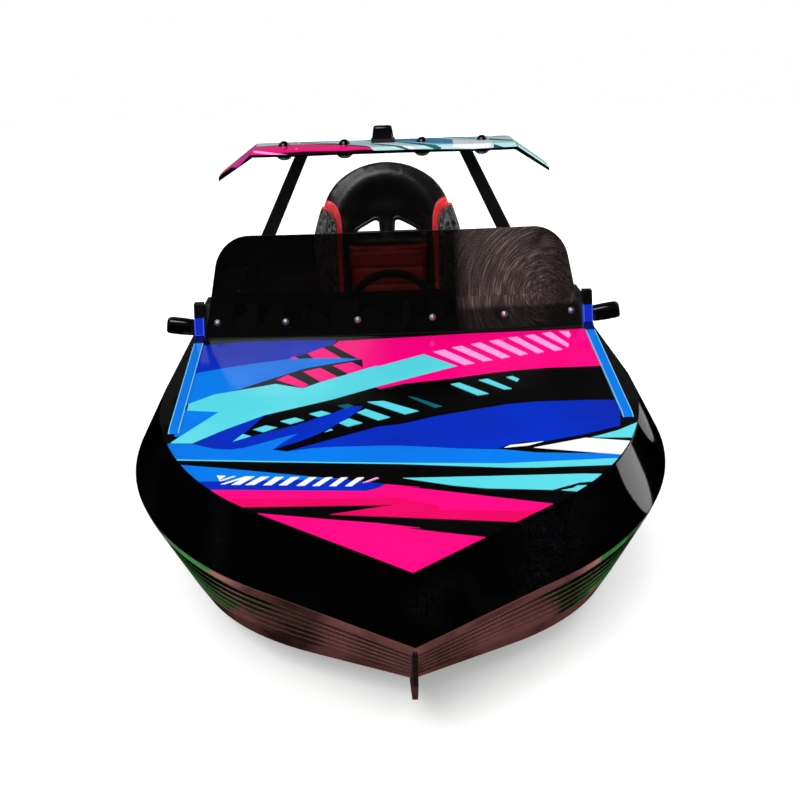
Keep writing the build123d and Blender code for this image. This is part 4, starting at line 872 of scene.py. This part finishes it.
def padded(name, node, material, voxel, cap, shape=None, pressure=4.0, smooth=8):
    """A stuffed piece in a CAD solid's place: remeshed, rounded, then blown up as cloth by no more than cap.

    shape is worked into the result: a function from points and outward normals to new points, for seams and
    channels.
    """
    made = placed(name, NODES[node].data.copy())
    clean(made.data, 1e-5)
    cells = made.modifiers.new("cells", "REMESH")
    cells.mode = "VOXEL"
    cells.voxel_size = voxel
    rounding = made.modifiers.new("rounding", "SMOOTH")
    rounding.factor = 0.6
    rounding.iterations = smooth
    made.data = settled(made)
    made.modifiers.clear()
    start = read_points(made.data)
    cloth = made.modifiers.new("cloth", "CLOTH")
    cloth.settings.use_pressure = True
    cloth.settings.uniform_pressure_force = pressure
    cloth.settings.mass = 0.3
    cloth.settings.tension_stiffness = cloth.settings.compression_stiffness = 25.0
    cloth.settings.bending_stiffness = 4.0
    cloth.settings.effector_weights.gravity = 0.0
    cloth.point_cache.frame_start, cloth.point_cache.frame_end = 1, CLOTH_STEPS
    for step in range(1, CLOTH_STEPS + 1):
        bpy.context.scene.frame_set(step)
    blown = read_points(settled(made))
    made.modifiers.clear()
    bpy.context.scene.frame_set(1)
    way = blown - start
    far = np.linalg.norm(way, axis=1)
    start = start + way * np.minimum(1.0, cap / np.maximum(far, 1e-9))[:, None]
    made.data.vertices.foreach_set("co", start.ravel())
    made.data.update()
    if shape:
        normals = np.empty(len(start) * 3)
        made.data.vertices.foreach_get("normal", normals)
        made.data.vertices.foreach_set("co", shape(start, normals.reshape(-1, 3)).ravel())
    made.data.materials.clear()
    made.data.materials.append(material)
    made.data.polygons.foreach_set("use_smooth", np.ones(len(made.data.polygons), dtype=bool))
    made.data.polygons.foreach_set("material_index", np.zeros(len(made.data.polygons), dtype=np.int32))
    made.data.update()
    finer = made.modifiers.new("finer", "SUBSURF")
    finer.levels = finer.render_levels = 1
    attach(made, "boat")
    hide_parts(node)


def channels(value, lines, depth, width):
    """Depth of sewn channels: a round-bottomed dent of this width at each line."""
    return sum(depth * np.exp(-((value - line) / width) ** 2) for line in lines)


def open_slot(across, high):
    """How far the cover is drawn sideways to open the outer corner of each harness slot."""
    half = np.abs(across)
    share = smooth_step(half, 0.045, 0.095) * (1 - smooth_step(half, 0.10, 0.19))
    rise = smooth_step(high, 0.60, 0.63) * (1 - smooth_step(high, 0.69, 0.72))
    return np.sign(across) * 0.026 * share * rise


def dish_shell(points, normals):
    """The cover of the back: dished inside its padded rim, by up to 16 mm far from the rim."""
    across, high, fore = seat_parts(points)
    reach = np.hypot(across / 0.228, np.maximum(high - 0.640, 0.0) / 0.250)
    front = smooth_step(fore, -0.030, -0.008) * smooth_step(high, 0.10, 0.20)
    rim = smooth_step(reach, 0.50, 0.84) * (1 - smooth_step(reach, 0.84, 1.0))
    deep = 0.016 * (1 - smooth_step(reach, 0.42, 0.80)) - 0.010 * rim
    wide = open_slot(across, high)
    return points - seat_place(0.0, 0.0, deep * front) + seat_place(wide, 0.0, 0.0)


def quilt_back(points, normals):
    """Level channels across the middle pad, 62 mm apart."""
    _, high, fore = seat_parts(points)
    dent = channels(high, np.arange(0.20, 0.58, 0.062), 0.006, 0.0055) * smooth_step(fore, 0.004, 0.016)
    return points - normals * dent[:, None]


def quilt_cushion(points, normals):
    """Two channels along the cushion and one across its front."""
    top = smooth_step(normals[:, 2], 0.3, 0.8)
    dent = channels(np.abs(points[:, 0]), [0.060], 0.006, 0.006) + channels(points[:, 1], [0.170], 0.005,
                                                                            0.006)
    return points - normals * (dent * top)[:, None]


def pinch_bolster(points, normals):
    """A seam along each bolster's ridge."""
    across, _, fore = seat_parts(points)
    dent = channels(np.abs(across), [0.196], 0.004, 0.004) * smooth_step(fore, 0.02, 0.05)
    return points - normals * dent[:, None]


def slot_rims():
    """A round bead that follows the edge of each harness slot: its corners are rounded over 6 mm each way."""
    corners = np.array([(0.022, 0.640), (0.026, 0.690), (0.044, 0.694), (0.092, 0.652), (0.090, 0.640)])
    before, after = (0.006 * unit(np.roll(corners, turn, 0) - corners) for turn in (1, -1))
    share = np.linspace(0, 1, 7)[None, :, None]
    start, end = (corners + before)[:, None], (corners + after)[:, None]
    path = (1 - share) ** 2 * start + 2 * share * (1 - share) * corners[:, None] + share ** 2 * end
    path = path.reshape(-1, 2)
    path[:, 0] += open_slot(path[:, 0], path[:, 1])
    rims = [looped(seat_place(side * path[:, 0], path[:, 1], -0.004), 0.0055,
                   (0.0, -1.0, 0.2)) for side in (-1, 1)]
    piece("slot_rims", *joined(rims), BLACK_VINYL, "seat_vinyl")


padded("seat_cover", "seat_shell", SEAT_VINYL, 0.008, 0.008, dish_shell, 3.0, 10)
padded("shoulder_bolsters", "seat_bolsters", SEAT_VINYL, 0.006, 0.012, pinch_bolster)
padded("back_pad", "seat_back_pad", RED_VINYL, 0.005, 0.010, quilt_back)
padded("cushion", "seat_cushion", BLACK_VINYL, 0.006, 0.014, quilt_cushion)
padded("thigh_pads", "thigh_bolsters", RED_VINYL, 0.006, 0.012)
slot_rims()


# Hardware

def block(levels, origin, axes, power=4.5, sides=40):
    """A rounded block: superellipses |u/a|^n + |v/b|^n = 1, one a row of (a, b, height) up the third axis."""
    angle = np.arange(sides) * 2 * math.pi / sides
    wave_u, wave_v = np.cos(angle), np.sin(angle)
    ring_u = np.sign(wave_u) * np.abs(wave_u) ** (2 / power)
    ring_v = np.sign(wave_v) * np.abs(wave_v) ** (2 / power)
    levels = np.asarray(levels, float)
    local = np.stack([levels[:, :1] * ring_u, levels[:, 1:2] * ring_v, levels[:, 2:] + 0 * ring_u], -1)
    points = np.asarray(origin) + local.reshape(-1, 3) @ np.asarray(axes, float)
    return points, capped_faces(len(levels), sides)


def place_screen_bolts():
    """Six domed zinc-plated screws through the screen's foot, square to the leaning sheet."""
    x = np.array([-0.533, -0.327, -0.110, 0.115, 0.333, 0.538])
    z = 0.713
    y = STATION + (z - SCREEN_FOOT_Z) * math.tan(SCREEN_LEAN) + x ** 2 / (2 * SCREEN_ARC)
    out = (0.0, -math.cos(SCREEN_LEAN), math.sin(SCREEN_LEAN))
    dome = [(0.0, 0.0052), (0.0030, 0.0049), (0.0054, 0.0036), (0.0068, 0.0014), (0.0072, 0.0), (0.0098, 0.0),
            (0.0098, -0.0012), (0.0, -0.0012)]
    centres = np.column_stack([x, y, np.full(len(x), z)]) + np.array(out) * 0.0006
    piece("screen_bolts", *turned(dome, centres, out), ZINC, "steel")


def hang_lamps():
    """Four lamps under the wing: a black turned cup, a bright bezel at its mouth, and a clear ringed lens."""
    centres = [(x, LAMP_Y, WING_TOP - 0.020) for x in LAMP_X]
    cup = [(0.0, 0.004), (0.0310, 0.004), (0.0328, 0.0), (0.0334, -0.006), (0.0326, -0.0135),
           (0.0302, -0.0200), (0.0290, -0.0200), (0.0280, -0.0180), (0.0, -0.0180)]
    bezel = [(0.0286, -0.0185), (0.0310, -0.0196), (0.0312, -0.0212), (0.0296, -0.0228), (0.0276, -0.0222),
             (0.0272, -0.0190), (0.0286, -0.0185)]
    across = np.linspace(0.0, 1.0, 15)[:, None]
    lens = np.hstack([0.0276 * (1 - across), -0.0215 - 0.0135 * np.sqrt(1 - (1 - across) ** 2)
                      - 0.0004 * np.cos(across * 12 * math.pi)])
    lens = np.vstack([[(0.0, -0.0184), (0.0270, -0.0184)], lens])
    cups = piece("lamp_cups", *turned(cup, centres, sides=36), GLOSS_ABS, "lamp_dark")
    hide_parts("lamp_lenses")
    piece("lamp_bezels", *turned(bezel, centres, sides=36), STAINLESS, "steel")
    piece("lamp_glasses", *turned(lens, centres, sides=36), CLEAR_LENS, "lamp_clear")


def set_beacon():
    """The beacon's cover: a tapered rounded block with a softened top, and a bead between it and its base."""
    foot = (0, WING_FRONT + 0.215, WING_TOP)
    cover = block([(0.0425, 0.0325, 0.012), (0.0425, 0.0325, 0.014), (0.0405, 0.0305, 0.030),
                   (0.0368, 0.0276, 0.0545), (0.0345, 0.0255, 0.0600), (0.0300, 0.0210, 0.0620),
                   (0.0100, 0.0070, 0.0625)], foot, np.eye(3))
    made = piece("beacon_shell", *cover, GLOSS_ABS, "black_plastic")
    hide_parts("beacon_cover")
    bead = block([(0.0460, 0.0360, 0.0105), (0.0472, 0.0372, 0.0125), (0.0460, 0.0360, 0.0145),
                  (0.0420, 0.0320, 0.0148)], foot, np.eye(3))
    piece("beacon_seal", *bead, RUBBER, "black_plastic")


def set_mirror_housings():
    """Each housing: superellipses along an arm that rises outwards by 8.5 degrees, with a rounded end."""
    tip = math.radians(8.5)
    meshes = []
    for side in (-1, 1):
        arm = np.array([side * math.cos(tip), 0.0, math.sin(tip)])
        rise = np.array([-side * math.sin(tip), 0.0, math.cos(tip)])
        axes = np.stack([rise, (0.0, 1.0, 0.0), arm])
        root = (side * RAIL_OUTER, STATION + 0.034, RAIL_CAP_Z - 0.072)
        meshes.append(block([(0.016, 0.016, -0.001), (0.0205, 0.0190, 0.001), (0.0222, 0.0205, 0.004),
                             (0.0232, 0.0215, 0.012), (0.0242, 0.0220, 0.040), (0.0240, 0.0220, 0.070),
                             (0.0225, 0.0205, 0.079), (0.0190, 0.0170, 0.0835), (0.0120, 0.0100, 0.0848)],
                            root, axes, 3.6))
    made = piece("mirror_shells", *joined(meshes), GLOSS_ABS, "black_plastic")
    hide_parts("mirror_housings")


def round_coamings():
    """A rubber trim along each side of the cockpit: a section with a round top, carried from end to end."""
    half, high = 0.013, 0.024
    angle = np.linspace(0, math.pi, 13)
    section = np.column_stack([half * np.cos(angle), high - half + half * np.sin(angle)])
    section = np.vstack([[(half, 0.0)], section, [(-half, 0.0)]])
    y = np.array([-0.060, -0.058, 0.150, 0.380, 0.678, 0.680])[:, None]
    swell = np.array([0.96, 1.0, 1.0, 1.0, 1.0, 0.96])[:, None]
    wide, tall = section[:, 0] * swell, section[:, 1] * swell
    meshes = [(np.stack([side * COAMING_X + wide, y + 0 * wide, COAMING_Z + tall], -1).reshape(-1, 3),
               capped_faces(len(y), len(section))) for side in (-1, 1)]
    made = piece("coaming_trims", *joined(meshes), RUBBER, "black_plastic")
    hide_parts("cockpit_coamings")


def hex_bolts(name, centres, axis, size):
    """Hexagon bolts on washers: a washer of 24 sides, and a head of six with a chamfered top."""
    washer = np.array([(0.0, 0.0), (1.15, 0.0), (1.15, 0.14), (0.0, 0.14)]) * size
    head = np.array([(0.0, 0.1), (0.92, 0.14), (0.92, 0.68), (0.78, 0.80), (0.0, 0.80)]) * size
    bolts = joined([turned(washer, centres, axis, 24), turned(head, centres, axis, 6)])
    piece(name, *bolts, STAINLESS, "steel", smooth=False)


def place_bolts():
    """Bolts on the pump's flange, the ride plate and the struts' feet; screws in the wing and aft deck."""
    around = np.radians(np.arange(30, 390, 60))
    flange = np.stack([0.082 * np.cos(around), np.full(6, TRANSOM + 0.003), JET_Z + 0.082 * np.sin(around)],
                      1)
    hex_bolts("pump_flange_bolts", flange, (0, 1, 0), 0.0062)
    hex_bolts("ride_plate_bolts", [(x, TRANSOM, 0.036) for x in (-0.105, -0.040, 0.040, 0.105)], (0, 1, 0),
              0.0060)
    feet = [(side * 0.547 + dx, WING_FRONT + 0.100 + dy, 0.599) for side in (-1, 1)
            for dx in (-0.038, 0.038) for dy in (-0.048, 0.048)]
    hex_bolts("strut_bolts", feet, (0, 0, 1), 0.0055)
    dome = [(0.0, 0.0034), (0.0030, 0.0032), (0.0052, 0.0022), (0.0062, 0.0), (0.0, 0.0)]
    top = [(x, y, WING_TOP) for x in (-0.330, -0.010, 0.330) for y in (WING_FRONT + 0.070, WING_BACK - 0.030)]
    piece("wing_screws", *turned(dome, top), ZINC, "steel")
    rim = [(side * 0.575, y, 0.591) for side in (-1, 1) for y in (0.72, 0.98, 1.10)]
    piece("aft_deck_screws", *turned(dome, rim), ZINC, "steel")


def sole_pads():
    """Ribbed rubber on the pedals: a sheet whose height is a raised cosine every 11 mm up its face."""
    across, up = np.linspace(-1, 1, 17)[:, None], np.linspace(0, 1, 81)
    wave = 0.0012 * (0.5 - 0.5 * np.cos(up * 10 * 2 * math.pi))
    low, high = np.array([-0.001, 0.092]), np.array([-0.035, 0.220])
    base = np.array([STATION - 0.215, 0.098]) + low + (high - low) * (0.06 + 0.88 * up)[:, None]
    out = unit([high[1] - low[1], low[0] - high[0]])
    line = np.vstack([base + out * (0.0022 + wave)[:, None], (base - out * 0.001)[::-1]])
    sheets = [np.stack(np.broadcast_arrays(side * 0.120 + 0.034 * across, *line.T), -1) for side in (-1, 1)]
    meshes = [(sheet.reshape(-1, 3), capped_faces(len(across), len(line))) for sheet in sheets]
    piece("pedal_pads", *joined(meshes), RUBBER, "black_plastic")


lay_wing_livery()
place_screen_bolts()
hang_lamps()
set_beacon()
set_mirror_housings()
round_coamings()
place_bolts()
sole_pads()
